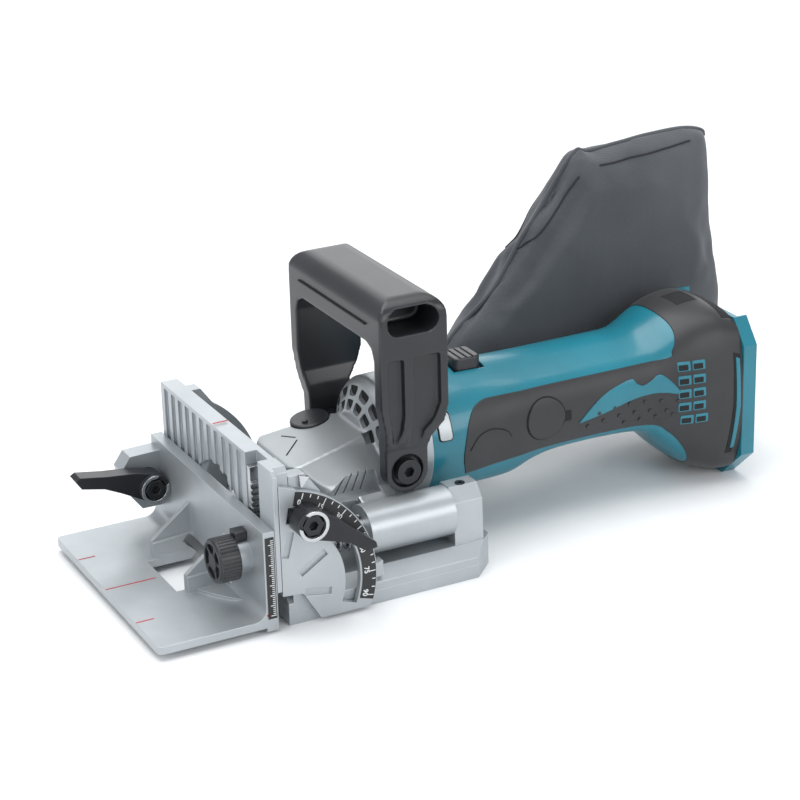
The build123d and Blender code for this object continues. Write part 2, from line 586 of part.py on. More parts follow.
def mount_edge():
    """Rear plate that the battery slides down on; its lower edge also meets the bench."""
    front = MOUNT_REAR - 7.95
    cut = [(-20.0, 0.0), (20.0, 0.0), (37.0, 16.0), (37.0, 77.0), (27.0, 90.0), (-27.0, 90.0), (-37.0, 77.0),
           (-37.0, 16.0)]
    body = prism_y(cut, (front, MOUNT_REAR))
    body -= block((-26.0, 26.0), (front + 3.0, MOUNT_REAR + 1), (16.0, 91.0))
    for z in (24.0, 68.0):
        body += both_sides(block((22.0, 28.0), (front + 2.0, MOUNT_REAR), (z, z + 14.0)))
    return body - block((-12.0, 12.0), (front - 1, front + 4), (34.0, 62.0))


def terminal_block():
    front = MOUNT_REAR - 13.0
    body = block((-11.5, 11.5), (front, MOUNT_REAR - 4.0), (34.5, 61.5))
    for x in (-7.0, 0.0, 7.0):
        body += block((x - 0.6, x + 0.6), (MOUNT_REAR - 4.5, MOUNT_REAR + 0.0), (38.0, 58.0))
    return body


def stator():
    core = rod_y((58.0, 94.0), 0, MOTOR_Z, 28.0) - rod_y((57.0, 95.0), 0, MOTOR_Z, 20.6)
    return core


def brush_set():
    brush = block((9.8, 20.0), (CAP_Y - 3.0, CAP_Y + 3.0), (MOTOR_Z - 3.0, MOTOR_Z + 3.0))
    return pair(brush)


def brush_caps():
    cap = rod_x((24.0, BODY_HALF + 1.6), CAP_Y, CAP_Z, 9.2)
    cap = chamfer(cap.edges().group_by(Axis.X)[-1], 0.8)
    cap -= block((BODY_HALF + 0.6, 35.0), (CAP_Y - 6.0, CAP_Y + 6.0), (CAP_Z - 1.0, CAP_Z + 1.0))
    return pair(cap)


def switch_body():
    return block((-7.0, 7.0), (150.0, 178.0), (62.0, 78.0)) + block((-1.5, 1.5), (149.0, 152.0), (72.0, 80.0))


def switch_knob():
    body = block((-8.0, 8.0), (69.5, 84.5), (84.0, BODY_TOP + 4.0))
    body = fillet(body.edges().filter_by(Axis.Z), 3.0)
    body = fillet(body.edges().group_by(Axis.Z)[-1], 1.2)
    for y in (72.5, 76.0, 79.5):
        body -= block((-9.0, 9.0), (y, y + 1.2), (BODY_TOP + 3.4, BODY_TOP + 5.0))
    return body


def side_plugs():
    return pair(rod_x((24.0, 29.6), PLUG_Y, PLUG_Z, 4.0))


def d_handle():
    outer = [(-HANDLE_HALF, 118.0), (-HANDLE_HALF, 136.0), (-45.0, HANDLE_TOP), (45.0, HANDLE_TOP),
             (HANDLE_HALF, 136.0), (HANDLE_HALF, 118.0), (HANDLE_HALF, 78.0), (46.5, 66.0), (46.5, 44.5),
             (38.1, 44.5), (38.1, 66.0), (43.0, 80.0), (43.0, 116.0), (38.0, 122.0), (-38.0, 122.0),
             (-43.0, 116.0), (-43.0, 80.0), (-38.1, 66.0), (-38.1, 44.5), (-46.5, 44.5), (-46.5, 66.0),
             (-HANDLE_HALF, 78.0)]
    hoop = prism_y(outer, (7.0, 43.0))
    side = [(13.0, HANDLE_TOP), (7.0, 138.0), (7.0, 94.0), (11.0, 70.0), (11.0, 52.0), (16.0, 45.5), (28.0, 45.5),
            (33.0, 52.0), (33.0, 70.0), (37.0, 78.0), (43.0, 86.0), (43.0, 138.0), (37.0, HANDLE_TOP)]
    body = hoop & prism_x(side, (-60.0, 60.0), 2.0)
    for side_x in (-1, 1):
        span = tuple(sorted((side_x * 48.5, side_x * 60.0)))
        body -= block(span, (11.0, 20.5), (84.0, 114.0)) + block(span, (24.0, 38.5), (88.0, 114.0))
        end = tuple(sorted((side_x * 30.0, side_x * 60.0)))
        hole = prism_x([(13.0, 128.5), (18.0, 126.5), (32.0, 126.5), (37.0, 128.5), (37.0, 138.0),
                        (32.0, 140.5), (18.0, 140.5), (13.0, 138.0)], end)
        body -= hole
        recess = tuple(sorted((side_x * 43.5, side_x * 60.0)))
        body -= rod_x(recess, HANDLE_FOOT_Y, HANDLE_FOOT_Z, 8.2)
        body -= rod_x(tuple(sorted((side_x * 36.0, side_x * 60.0))), HANDLE_FOOT_Y, HANDLE_FOOT_Z, 3.05)
    return body


def handle_bolts():
    bolt = rod_x((30.2, 44.0), HANDLE_FOOT_Y, HANDLE_FOOT_Z, 3.0)
    bolt += rod_x((43.5, 48.5), HANDLE_FOOT_Y, HANDLE_FOOT_Z, 6.2)
    return pair(bolt - hexagon_x((45.0, 50.0), HANDLE_FOOT_Y, HANDLE_FOOT_Z, 5.0))


def slide_sleeves():
    body = rod_y((SLEEVE_FRONT, SLEEVE_REAR), ROD_X, ROD_Z, SLEEVE_R)
    low = [(39.0, 24.0), (58.5, 24.0), (60.5, 32.0), (37.5, 32.0)]
    body += prism_y(low, (SLEEVE_FRONT, SLEEVE_REAR))
    body -= block((30.0, 70.0), (SLEEVE_FRONT - 1, SLEEVE_REAR + 1), (10.0, 20.3))
    return pair(body - rod_y((SLEEVE_FRONT - 1, SLEEVE_REAR + 1), ROD_X, ROD_Z, ROD_R + RUN))


# ---------------------------------------------------------------- rotating parts
def spindle():
    y = SPINDLE_Y
    body = rod_z((11.7, 14.0), 0, y, 10.0) + rod_z((8.4, 12.0), 0, y, 10.95)
    body += rod_z((3.6, 50.0), 0, y, 6.0) + rod_z((49.0, 57.0), 0, y, 4.0)
    body += rod_z((33.3, 37.0), 0, y, 8.0)
    return body


def drive_gear():
    y = SPINDLE_Y
    gear = rod_z((37.1, 43.5), 0, y, 26.0) - rod_z((36.0, 44.0), 0, y, 6.0)
    for k in range(CROWN_TEETH):
        deg = (k + 0.5) * 360.0 / CROWN_TEETH
        gear += Pos(0, y, 44.8) * Rot(0, 0, deg) * Pos(23.5, 0, 0) * Box(5.0, 1.15, 3.6)
    return gear


def blade():
    y = SPINDLE_Y
    plate = rod_z((BLADE_Z - 1.3, BLADE_Z + 1.3), 0, y, BLADE_DIA / 2 - 2.0)
    plate -= rod_z((0.0, 20.0), 0, y, BLADE_BORE / 2)
    for k in range(6):
        deg = k * 60.0
        at = Pos(0, y, BLADE_Z) * Rot(0, 0, deg)
        plate -= at * Pos(BLADE_DIA / 2 - 3.5, 4.5, 0) * Cylinder(5.0, 8.0)
        tip = at * Pos(BLADE_DIA / 2 - 4.0, -1.4, 0) * Box(7.6, 2.6, 4.0)
        plate += tip
    return plate & rod_z((0.0, 20.0), 0, y, BLADE_DIA / 2)


def lock_nut():
    nut = rod_z((4.2, 8.35), 0, SPINDLE_Y, 15.0) - rod_z((3.0, 9.0), 0, SPINDLE_Y, 6.0)
    for k in range(4):
        nut -= Pos(0, SPINDLE_Y, 4.5) * Rot(0, 0, k * 90.0) * Pos(11.5, 0, 0) * Cylinder(1.6, 3.0)
    return nut


def blade_flange():
    ring = rod_z((11.35, 13.6), 0, SPINDLE_Y, 15.0)
    return ring - rod_z((11.0, 14.5), 0, SPINDLE_Y, 11.0)


def armature():
    z = MOTOR_Z
    shaft = rod_y((26.0, 130.0), 0, z, 4.0)
    core = rod_y((58.0, 94.0), 0, z, 20.0)
    for k in range(12):
        core -= Pos(0, 76.0, z) * Rot(0, k * 30.0, 0) * Pos(19.0, 0, 0) * Box(4.0, 40.0, 1.6)
    return shaft + core


def commutator():
    return rod_y((100.0, 118.0), 0, MOTOR_Z, 9.7) - rod_y((99.0, 119.0), 0, MOTOR_Z, 4.0)


def fan():
    y = (44.5, 54.0)
    hub = rod_y(y, 0, MOTOR_Z, 8.0) + rod_y((52.5, 54.0), 0, MOTOR_Z, 24.0)
    for k in range(9):
        hub += Pos(0, 49.0, MOTOR_Z) * Rot(0, k * 40.0, 0) * Pos(15.0, 0, 0) * Box(16.0, 8.0, 1.4)
    return hub - rod_y((40.0, 60.0), 0, MOTOR_Z, 4.0)


def drive_pinion():
    y = (24.6, 28.2)
    body = rod_y((23.6, 28.4), 0, MOTOR_Z, 6.8)
    for k in range(DRIVE_TEETH):
        deg = 90.0 + k * 360.0 / DRIVE_TEETH
        body += Pos(0, 26.0, MOTOR_Z) * Rot(0, deg, 0) * Pos(7.6, 0, 0) * Box(2.8, 4.6, 1.05)
    return body - rod_y((26.0, 29.0), 0, MOTOR_Z, 4.0)


# ---------------------------------------------------------------- small moving parts
def shaft_lock_button():
    cap = rod_z((63.0, 68.5), BUTTON_X, BUTTON_Y, 7.5)
    cap = chamfer(cap.edges().group_by(Axis.Z)[-1], 0.8)
    return cap + rod_z((51.0, 64.0), BUTTON_X, BUTTON_Y, 2.5)


def depth_turret():
    """Six-position stop; each position has a hole of its own depth facing the stop screw."""
    front = TURRET_REAR - 8.0
    body = rod_y((front, TURRET_REAR), TURRET_X, TURRET_Z, 6.8)
    for k in range(6):
        at = Pos(TURRET_X, TURRET_REAR, TURRET_Z) * Rot(0, k * 60.0, 0) * Pos(4.9, 0, 0)
        body -= at * Rot(90, 0, 0) * Cylinder(1.1, 1.0 + k)
    return body - rod_y((front - 1, TURRET_REAR + 1), TURRET_X, TURRET_Z, 2.5 + RUN)


NODES = {
    "base_casting": base_casting,
    "blade_cover": blade_cover,
    "cover_screws": cover_screws,
    "guide_rods": guide_rods,
    "rod_set_screws": rod_set_screws,
    "return_springs": return_springs,
    "tilt_bolts": tilt_bolts,
    "index_pointer": index_pointer,
    "dust_nozzle": dust_nozzle,
    "bag_collar": bag_collar,
    "dust_bag": dust_bag,
    "fence_plate": fence_plate,
    "angle_sector": lambda: sector_plate(True),
    "far_sector": lambda: mirror(sector_plate(False), about=Plane.YZ),
    "angle_scale": angle_scale,
    "rack": rack,
    "sector_screws": sector_screws,
    "angle_guide": angle_guide,
    "height_scale": height_scale,
    "knob_stop": knob_stop,
    "clamp_stud": clamp_stud,
    "height_knob": height_knob,
    "pinion_shaft": pinion_shaft,
    "height_lock_lever": height_lock_lever,
    "height_lever_ring": lambda: snap_ring((-46.45, -45.4), LEVER_Y, LEVER_Z, 45.0),
    "angle_lock_lever": angle_lock_lever,
    "angle_lever_ring": lambda: snap_ring((81.05, 82.1), LOCK_Y, LOCK_Z, 150.0),
    "gear_housing": gear_housing,
    "bearing_retainer": bearing_retainer,
    "spindle_bearings": spindle_bearings,
    "armature_bearings": armature_bearings,
    "motor_ring": motor_ring,
    "depth_stop_screw": depth_stop_screw,
    "housing_left": lambda: housing_half(1),
    "housing_right": lambda: housing_half(-1),
    "grip_left": lambda: grip(1),
    "grip_right": lambda: grip(-1),
    "battery_mount": battery_mount,
    "mount_edge": mount_edge,
    "terminal_block": terminal_block,
    "stator": stator,
    "brush_set": brush_set,
    "brush_caps": brush_caps,
    "switch_body": switch_body,
    "side_plugs": side_plugs,
    "d_handle": d_handle,
    "handle_bolts": handle_bolts,
    "slide_sleeves": slide_sleeves,
    "spindle": spindle,
    "drive_gear": drive_gear,
    "blade": blade,
    "lock_nut": lock_nut,
    "blade_flange": blade_flange,
    "armature": armature,
    "commutator": commutator,
    "fan": fan,
    "drive_pinion": drive_pinion,
    "shaft_lock_button": shaft_lock_button,
    "switch_knob": switch_knob,
    "depth_turret": depth_turret,
}

for node, make in NODES.items():
    export_step(make(), f"parts/{node}.step")
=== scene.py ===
import json
import math
import bmesh
import bpy
from mathutils import Matrix, Vector, noise
from mathutils.bvhtree import BVHTree


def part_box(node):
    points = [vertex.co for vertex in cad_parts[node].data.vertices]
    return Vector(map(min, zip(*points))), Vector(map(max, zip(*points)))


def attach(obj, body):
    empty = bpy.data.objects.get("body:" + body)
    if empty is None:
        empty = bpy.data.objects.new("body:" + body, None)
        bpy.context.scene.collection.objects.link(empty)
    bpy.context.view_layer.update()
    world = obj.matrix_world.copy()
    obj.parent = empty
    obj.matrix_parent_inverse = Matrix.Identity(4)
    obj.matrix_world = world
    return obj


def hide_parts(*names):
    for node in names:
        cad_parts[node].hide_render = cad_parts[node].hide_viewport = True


# Biscuit joiner. Lengths are in millimetres here and become metres in point(). Front -Y, knob side +X.

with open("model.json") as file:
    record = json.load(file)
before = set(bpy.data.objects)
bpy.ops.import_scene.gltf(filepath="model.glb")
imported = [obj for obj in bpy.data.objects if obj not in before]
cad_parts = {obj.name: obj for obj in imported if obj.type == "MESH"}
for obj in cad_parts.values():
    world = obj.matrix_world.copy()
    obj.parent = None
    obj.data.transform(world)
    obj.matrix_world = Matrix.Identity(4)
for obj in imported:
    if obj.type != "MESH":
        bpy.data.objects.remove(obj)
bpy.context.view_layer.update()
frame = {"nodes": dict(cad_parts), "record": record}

MM = 0.001
TILT_Y = -59.0
TILT_Z = 20.0
SCALE_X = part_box("angle_scale")[1].x / MM
GUIDE_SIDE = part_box("height_scale")[1].x / MM
FLANGE_TOP = 7.5
MOTOR_Z = 54.0
TEAL_Y = 44.0
WIDE = 60.0
MOUNT_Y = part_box("battery_mount")[1].y / MM


def point(x, y, z):
    return Vector((x * MM, y * MM, z * MM))


# ------------------------------------------------------------------ materials

MATERIALS = {}


GLOSS_SPREAD = 0.07
WEAVE_BUMP = 0.45
WEAVE_DEPTH = 0.0002
WAVES_PER_UNIT = 20.0


def finish_of(name, colour, second, rough, metallic=0.0, grain=1800.0, bump=0.15, depth=0.0001,
              blotch=30.0, coat=0.0, sheen=0.0, wear=None, rounding=0.5, speckle=0.0):
    """Varied colour and roughness, fine grain, softened edges and, on worn parts, bright edges."""
    mat = bpy.data.materials.new(name)
    mat.use_nodes = True
    tree = mat.node_tree
    nodes = tree.nodes
    link = tree.links.new
    shader = nodes["Principled BSDF"]
    where = nodes.new("ShaderNodeTexCoord").outputs["Object"]
    broad = nodes.new("ShaderNodeTexNoise")
    broad.inputs["Scale"].default_value = blotch
    broad.inputs["Detail"].default_value = 4.0
    link(where, broad.inputs["Vector"])
    fine = nodes.new("ShaderNodeTexNoise")
    fine.inputs["Scale"].default_value = grain
    fine.inputs["Detail"].default_value = 2.0
    link(where, fine.inputs["Vector"])
    spread = nodes.new("ShaderNodeMapRange")
    spread.inputs["From Min"].default_value = 0.35
    spread.inputs["From Max"].default_value = 0.65
    link(broad.outputs["Fac"], spread.inputs["Value"])
    mix = nodes.new("ShaderNodeMix")
    mix.data_type = "RGBA"
    mix.inputs["A"].default_value = (*colour, 1)
    mix.inputs["B"].default_value = (*second, 1)
    link(spread.outputs["Result"], mix.inputs["Factor"])
    tone = mix.outputs["Result"]
    if speckle:
        dots = nodes.new("ShaderNodeMapRange")
        dots.inputs["From Min"].default_value = 0.55
        dots.inputs["From Max"].default_value = 0.75
        dots.inputs["To Max"].default_value = speckle
        link(fine.outputs["Fac"], dots.inputs["Value"])
        light = nodes.new("ShaderNodeMix")
        light.data_type = "RGBA"
        light.inputs["B"].default_value = (0.8, 0.8, 0.8, 1)
        link(dots.outputs["Result"], light.inputs["Factor"])
        link(tone, light.inputs["A"])
        tone = light.outputs["Result"]
    soft = nodes.new("ShaderNodeBevel")
    soft.samples = 4
    soft.inputs["Radius"].default_value = rounding * MM
    if wear:
        face = nodes.new("ShaderNodeNewGeometry")
        dot = nodes.new("ShaderNodeVectorMath")
        dot.operation = "DOT_PRODUCT"
        link(soft.outputs["Normal"], dot.inputs[0])
        link(face.outputs["Normal"], dot.inputs[1])
        edge = nodes.new("ShaderNodeMapRange")
        edge.inputs["From Min"].default_value = 0.995
        edge.inputs["From Max"].default_value = 0.90
        edge.inputs["To Max"].default_value = 0.7
        link(dot.outputs["Value"], edge.inputs["Value"])
        rubbed = nodes.new("ShaderNodeMath")
        rubbed.operation = "MULTIPLY"
        link(edge.outputs["Result"], rubbed.inputs[0])
        link(broad.outputs["Fac"], rubbed.inputs[1])
        worn = nodes.new("ShaderNodeMix")
        worn.data_type = "RGBA"
        worn.inputs["B"].default_value = (*wear, 1)
        link(rubbed.outputs["Value"], worn.inputs["Factor"])
        link(tone, worn.inputs["A"])
        tone = worn.outputs["Result"]
    link(tone, shader.inputs["Base Color"])
    gloss = nodes.new("ShaderNodeMapRange")
    gloss.inputs["To Min"].default_value = rough - GLOSS_SPREAD
    gloss.inputs["To Max"].default_value = rough + GLOSS_SPREAD
    link(fine.outputs["Fac"], gloss.inputs["Value"])
    link(gloss.outputs["Result"], shader.inputs["Roughness"])
    relief = nodes.new("ShaderNodeBump")
    relief.inputs["Strength"].default_value = bump
    relief.inputs["Distance"].default_value = depth
    link(fine.outputs["Fac"], relief.inputs["Height"])
    link(soft.outputs["Normal"], relief.inputs["Normal"])
    link(relief.outputs["Normal"], shader.inputs["Normal"])
    shader.inputs["Metallic"].default_value = metallic
    shader.inputs["Coat Weight"].default_value = coat
    shader.inputs["Sheen Weight"].default_value = sheen
    MATERIALS[name] = mat
    return mat


def weave(name, colour, second, pitch):
    """Woven nylon: two crossed thread directions, slubs, slight fading and a soft sheen."""
    mat = finish_of(name, colour, second, 0.85, grain=1500.0, bump=0.2, depth=0.0002, blotch=14.0,
                    sheen=0.25, speckle=0.03)
    tree = mat.node_tree
    nodes = tree.nodes
    link = tree.links.new
    relief = next(n for n in nodes if n.type == "BUMP")
    where = next(n for n in nodes if n.type == "TEX_COORD").outputs["Object"]
    total = None
    for direction in ("Y", "Z"):
        thread = nodes.new("ShaderNodeTexWave")
        thread.bands_direction = direction
        thread.inputs["Scale"].default_value = 1 / (pitch * MM) / WAVES_PER_UNIT * math.tau
        thread.inputs["Distortion"].default_value = 1.2
        thread.inputs["Detail Scale"].default_value = 3.0
        link(where, thread.inputs["Vector"])
        if total is None:
            total = thread.outputs["Fac"]
        else:
            add = nodes.new("ShaderNodeMath")
            link(total, add.inputs[0])
            link(thread.outputs["Fac"], add.inputs[1])
            total = add.outputs["Value"]
    cloth = nodes.new("ShaderNodeBump")
    cloth.inputs["Strength"].default_value = WEAVE_BUMP
    cloth.inputs["Distance"].default_value = WEAVE_DEPTH
    link(total, cloth.inputs["Height"])
    link(relief.outputs["Normal"], cloth.inputs["Normal"])
    link(cloth.outputs["Normal"], nodes["Principled BSDF"].inputs["Normal"])


finish_of("alu", (0.44, 0.47, 0.49), (0.39, 0.42, 0.44), 0.38, metallic=0.6, grain=2600.0, bump=0.35,
          wear=(0.85, 0.87, 0.88))
finish_of("alu_cast", (0.42, 0.445, 0.46), (0.36, 0.385, 0.40), 0.40, metallic=0.65, grain=2400.0, bump=0.4)
finish_of("steel", (0.55, 0.56, 0.57), (0.46, 0.47, 0.49), 0.25, metallic=1.0, grain=1200.0, bump=0.12,
          wear=(0.8, 0.8, 0.8))
finish_of("blackened", (0.014, 0.015, 0.018), (0.022, 0.023, 0.027), 0.32, metallic=0.35, grain=2200.0,
          bump=0.3, wear=(0.20, 0.21, 0.22))
finish_of("teal", (0.006, 0.150, 0.205), (0.008, 0.175, 0.238), 0.30, grain=1500.0, bump=0.12, coat=0.15,
          rounding=0.9)
finish_of("black_plastic", (0.013, 0.014, 0.017), (0.019, 0.020, 0.024), 0.33, grain=2400.0, bump=0.3,
          rounding=0.8, wear=(0.11, 0.115, 0.125))
finish_of("rubber", (0.013, 0.013, 0.015), (0.019, 0.019, 0.022), 0.46, grain=1900.0, bump=0.45, sheen=0.1,
          rounding=0.8)
finish_of("scale", (0.012, 0.012, 0.013), (0.018, 0.018, 0.019), 0.45, grain=2000.0, bump=0.1, rounding=0.1)
finish_of("white_ink", (0.80, 0.82, 0.82), (0.70, 0.72, 0.72), 0.55, grain=2500.0, bump=0.1, rounding=0.05)
finish_of("red_ink", (0.42, 0.008, 0.012), (0.32, 0.006, 0.009), 0.5, grain=2500.0, bump=0.1, rounding=0.05)
finish_of("carbide", (0.50, 0.50, 0.51), (0.40, 0.40, 0.42), 0.28, metallic=1.0, grain=900.0, bump=0.2)
finish_of("copper", (0.72, 0.36, 0.18), (0.55, 0.26, 0.13), 0.32, metallic=1.0, grain=900.0, bump=0.2)
finish_of("iron", (0.30, 0.30, 0.31), (0.22, 0.22, 0.23), 0.48, metallic=0.9, grain=1400.0, bump=0.3)
finish_of("carbon", (0.03, 0.03, 0.03), (0.05, 0.05, 0.05), 0.7, grain=1500.0, bump=0.4)
# Near-black for dark joints between parts, and also painted shade: it fills window openings, vent slots, a
# notch and creases, where only shade is dark.
finish_of("dark_gap_and_shade", (0.004, 0.004, 0.005), (0.008, 0.008, 0.009), 0.8, grain=900.0, bump=0.1)
finish_of("floor_paint", (0.86, 0.87, 0.88), (0.84, 0.85, 0.86), 0.9, grain=200.0, bump=0.02)
weave("fabric", (0.040, 0.045, 0.052), (0.062, 0.070, 0.080), 0.55)
finish_of("seam_thread", (0.010, 0.011, 0.013), (0.018, 0.019, 0.022), 0.8, grain=2600.0, bump=0.5)

SLOTS = {row["node"]: row["material_slot"] for row in frame["record"]["subparts"]}
for node, piece in frame["nodes"].items():
    piece.data.materials.clear()
    piece.data.materials.append(MATERIALS[SLOTS[node]])


# ------------------------------------------------------------------ mesh helpers

SHARP = math.radians(32)


def add_piece(name, mesh, material, body, smooth=True):
    obj = bpy.data.objects.new(name, mesh)
    bpy.context.scene.collection.objects.link(obj)
    mesh.materials.clear()
    mesh.materials.append(MATERIALS[material])
    if smooth:
        mesh.shade_smooth()
    else:
        mesh.shade_flat()
    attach(obj, body)
    return obj


def apply(obj, kind, **settings):
    """Adds a modifier, keeps its result in the mesh and drops the modifier."""
    smooth = any(face.use_smooth for face in obj.data.polygons)
    modifier = obj.modifiers.new(kind.lower(), kind)
    for key, value in settings.items():
        setattr(modifier, key, value)
    depsgraph = bpy.context.evaluated_depsgraph_get()
    result = bpy.data.meshes.new_from_object(obj.evaluated_get(depsgraph))
    obj.modifiers.clear()
    obj.data = result
    if smooth:
        result.shade_smooth()
        result.set_sharp_from_angle(angle=SHARP)


def prism_mesh(outline, axis, low, high):
    """Closed prism of an outline given on the two axes that follow from x, y, z without the named one."""
    def place(a, b, h):
        return {"x": point(h, a, b), "y": point(a, h, b), "z": point(a, b, h)}[axis]
    mesh = bpy.data.meshes.new("prism")
    bm = bmesh.new()
    rings = [[bm.verts.new(place(a, b, h)) for a, b in outline] for h in (low, high)]
    bm.faces.new(rings[0])
    bm.faces.new(rings[1])
    count = len(outline)
    for k in range(count):
        bm.faces.new((rings[0][k], rings[0][(k + 1) % count], rings[1][(k + 1) % count], rings[1][k]))
    bmesh.ops.recalc_face_normals(bm, faces=bm.faces)
    bm.to_mesh(mesh)
    bm.free()
    return mesh


def prism(name, outline, axis, low, high, material, body):
    return add_piece(name, prism_mesh(outline, axis, low, high), material, body, smooth=False)


def arc(centre, radius, start, end, steps=24):
    """Points on an arc, in degrees, about a centre."""
    angles = [math.radians(start + (end - start) * k / steps) for k in range(steps + 1)]
    return [(centre[0] + radius * math.cos(a), centre[1] + radius * math.sin(a)) for a in angles]


def disc(centre, radius, steps):
    return arc(centre, radius, 0, 360, steps)[:-1]


def box(a0, a1, b0, b1):
    return [(a0, b0), (a1, b0), (a1, b1), (a0, b1)]


def curve_through(points, steps=8):
    """Smooth open line through the points (Catmull-Rom)."""
    ends = [points[0], *points, points[-1]]
    line = []
    for p0, p1, p2, p3 in zip(ends, ends[1:], ends[2:], ends[3:]):
        for k in range(steps):
            t = k / steps
            line.append(tuple(
                0.5 * (2 * b + (c - a) * t + (2 * a - 5 * b + 4 * c - d) * t * t
                       + (3 * b - a - 3 * c + d) * t ** 3)
                for a, b, c, d in zip(p0, p1, p2, p3)))
    return line + [points[-1]]


def loft(name, rings, material, body):
    """Closed skin through rings of the same number of points."""
    mesh = bpy.data.meshes.new(name)
    bm = bmesh.new()
    made = [[bm.verts.new(point(*p)) for p in ring] for ring in rings]
    count = len(rings[0])
    for low, high in zip(made, made[1:]):
        for k in range(count):
            bm.faces.new((low[k], low[(k + 1) % count], high[(k + 1) % count], high[k]))
    bm.faces.new(made[0])
    bm.faces.new(made[-1])
    bmesh.ops.recalc_face_normals(bm, faces=bm.faces)
    bm.to_mesh(mesh)
    bm.free()
    return add_piece(name, mesh, material, body)


def combine(obj, outline, axis, low, high, operation):
    """Cuts a prism out of a piece, or keeps only what is inside it."""
    cutter = bpy.data.objects.new("cutter", prism_mesh(outline, axis, low, high))
    bpy.context.scene.collection.objects.link(cutter)
    apply(obj, "BOOLEAN", object=cutter, operation=operation, solver="EXACT")
    bpy.data.objects.remove(cutter)
    return obj


def rod(name, centre, along, radius, length, material, body, bevel=0.3):
    """Bevelled round bar whose middle is at centre."""
    segments = 40
    mesh = bpy.data.meshes.new(name)
    bm = bmesh.new()
    turn = Vector((0, 0, 1)).rotation_difference(Vector(along)).to_matrix().to_4x4()
    bmesh.ops.create_cone(bm, cap_ends=True, segments=segments, radius1=radius * MM, radius2=radius * MM,
                          depth=length * MM, matrix=Matrix.Translation(point(*centre)) @ turn)
    bm.to_mesh(mesh)
    bm.free()
    obj = add_piece(name, mesh, material, body, smooth=False)
    apply(obj, "BEVEL", width=bevel * MM, segments=2, limit_method="ANGLE")
    return obj


def joined(name, objects):
    """One object out of several with the same material and body."""
    mesh = bpy.data.meshes.new(name)
    bm = bmesh.new()
    for obj in objects:
        bm.from_mesh(obj.data)
    bm.to_mesh(mesh)
    bm.free()
    first = objects[0]
    mesh.materials.append(first.data.materials[0])
    first.data = mesh
    first.name = name
    for obj in objects[1:]:
        bpy.data.objects.remove(obj)
    return first


# ------------------------------------------------------------------ printed scales and marks

def tilt_at(radius, degrees):
    a = math.radians(degrees)
    return TILT_Y + radius * math.cos(a), TILT_Z + radius * math.sin(a)


def figure(name, string, size, centre, lean, body):
    """A flat number on the +X side, reading towards +Y and turned by lean degrees."""
    curve = bpy.data.curves.new(name, "FONT")
    curve.body = string
    curve.size = size * MM
    curve.extrude = 0.00006
    curve.offset = 0.00006
    curve.align_x = "CENTER"
    curve.align_y = "CENTER"
    source = bpy.data.objects.new(name + "_source", curve)
    bpy.context.scene.collection.objects.link(source)
    mesh = bpy.data.meshes.new_from_object(source)
    bpy.data.objects.remove(source)
    upright = Matrix(((0, 0, 1, 0), (1, 0, 0, 0), (0, 1, 0, 0), (0, 0, 0, 1)))
    turn = Matrix.Rotation(math.radians(lean), 4, "X")
    mesh.transform(Matrix.Translation(point(*centre)) @ turn @ upright)
    return add_piece(name, mesh, "white_ink", body, smooth=False)


INK_SUNK = 0.05
SCALE_ZERO = 73.0
SCALE_NINETY = -14.0
SCALE_STEPS = 18
TICK_OUTER = 50.6
TICK_HALF = 0.22
FIGURE_SIZE = 3.6
MARK_HALF = 0.45
SIDE_MARKS = (-38.0, 40.0)


def angle_marks():
    """Ticks every 5 degrees and figures every 15 on the angle sector."""
    span = SCALE_NINETY - SCALE_ZERO
    half = math.degrees(TICK_HALF / 50.0)
    ticks = []
    for k in range(SCALE_STEPS + 1):
        deg = SCALE_ZERO + span * k / SCALE_STEPS
        inner = 47.6 if k % 3 == 0 else 49.0
        ring = [tilt_at(inner, deg - half), tilt_at(TICK_OUTER, deg - half),
                tilt_at(TICK_OUTER, deg + half), tilt_at(inner, deg + half)]
        ticks.append(prism(f"tick_{k}", ring, "x", SCALE_X - INK_SUNK, SCALE_X + 0.1, "white_ink", "fence"))
    joined("angle_scale_ticks", ticks)
    figures = []
    for k, label in enumerate(("0", "15", "30", "45", "60", "75", "90")):
        deg = SCALE_ZERO + span * k / 6 + 1.2
        y, z = tilt_at(46.0, deg)
        place = (SCALE_X + INK_SUNK, y, z)
        figures.append(figure(f"figure_{label}", label, FIGURE_SIZE, place, deg - 90.0, "fence"))
    joined("angle_scale_figures", figures)


def height_marks():
    """Ticks up the height scale strip, every fifth one longer."""
    low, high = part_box("height_scale")
    thick = 0.35
    marks = []
    for k in range(38):
        z = low.z / MM + 1.4 + k * (high.z - low.z) / MM / 40.0
        reach = 2.6 if k % 5 == 0 else 1.5
        y = high.y / MM - 0.4
        marks.append(prism(f"height_{k}", box(y - reach, y, z, z + thick), "x", GUIDE_SIDE - INK_SUNK,
                           GUIDE_SIDE + 0.08, "white_ink", "guide"))
    joined("height_scale_ticks", marks)


def red_marks():
    """Red lines on the guide's flange and side and on the fence's top edge."""
    top = FLANGE_TOP + 0.06
    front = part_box("angle_guide")[0].y / MM + 0.4
    left, right = SIDE_MARKS
    for name, x, length in (("guide_centre_mark", 0.0, 26.0), ("guide_left_mark", left, 9.0),
                            ("guide_right_mark", right, 9.0)):
        prism(name, box(x - MARK_HALF, x + MARK_HALF, front, front + length), "z", top - 0.1, top,
              "red_ink", "guide")
    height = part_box("fence_plate")[1].z / MM
    fence_line = box(-0.5, 0.5, -58.6, -51.0)
    prism("fence_top_mark", fence_line, "z", height - 0.1, height + 0.08, "red_ink", "fence")
    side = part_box("angle_guide")[1].x / MM
    prism("guide_side_mark", box(-64.8, -59.6, 9.4, 10.6), "x", side - 0.1, side + 0.08, "red_ink", "guide")


angle_marks()
height_marks()
red_marks()


# ------------------------------------------------------------------ motor body

CAP = (109.4, 58.4)
PANEL_PROUD = 0.35
BODY_STEPS = 5

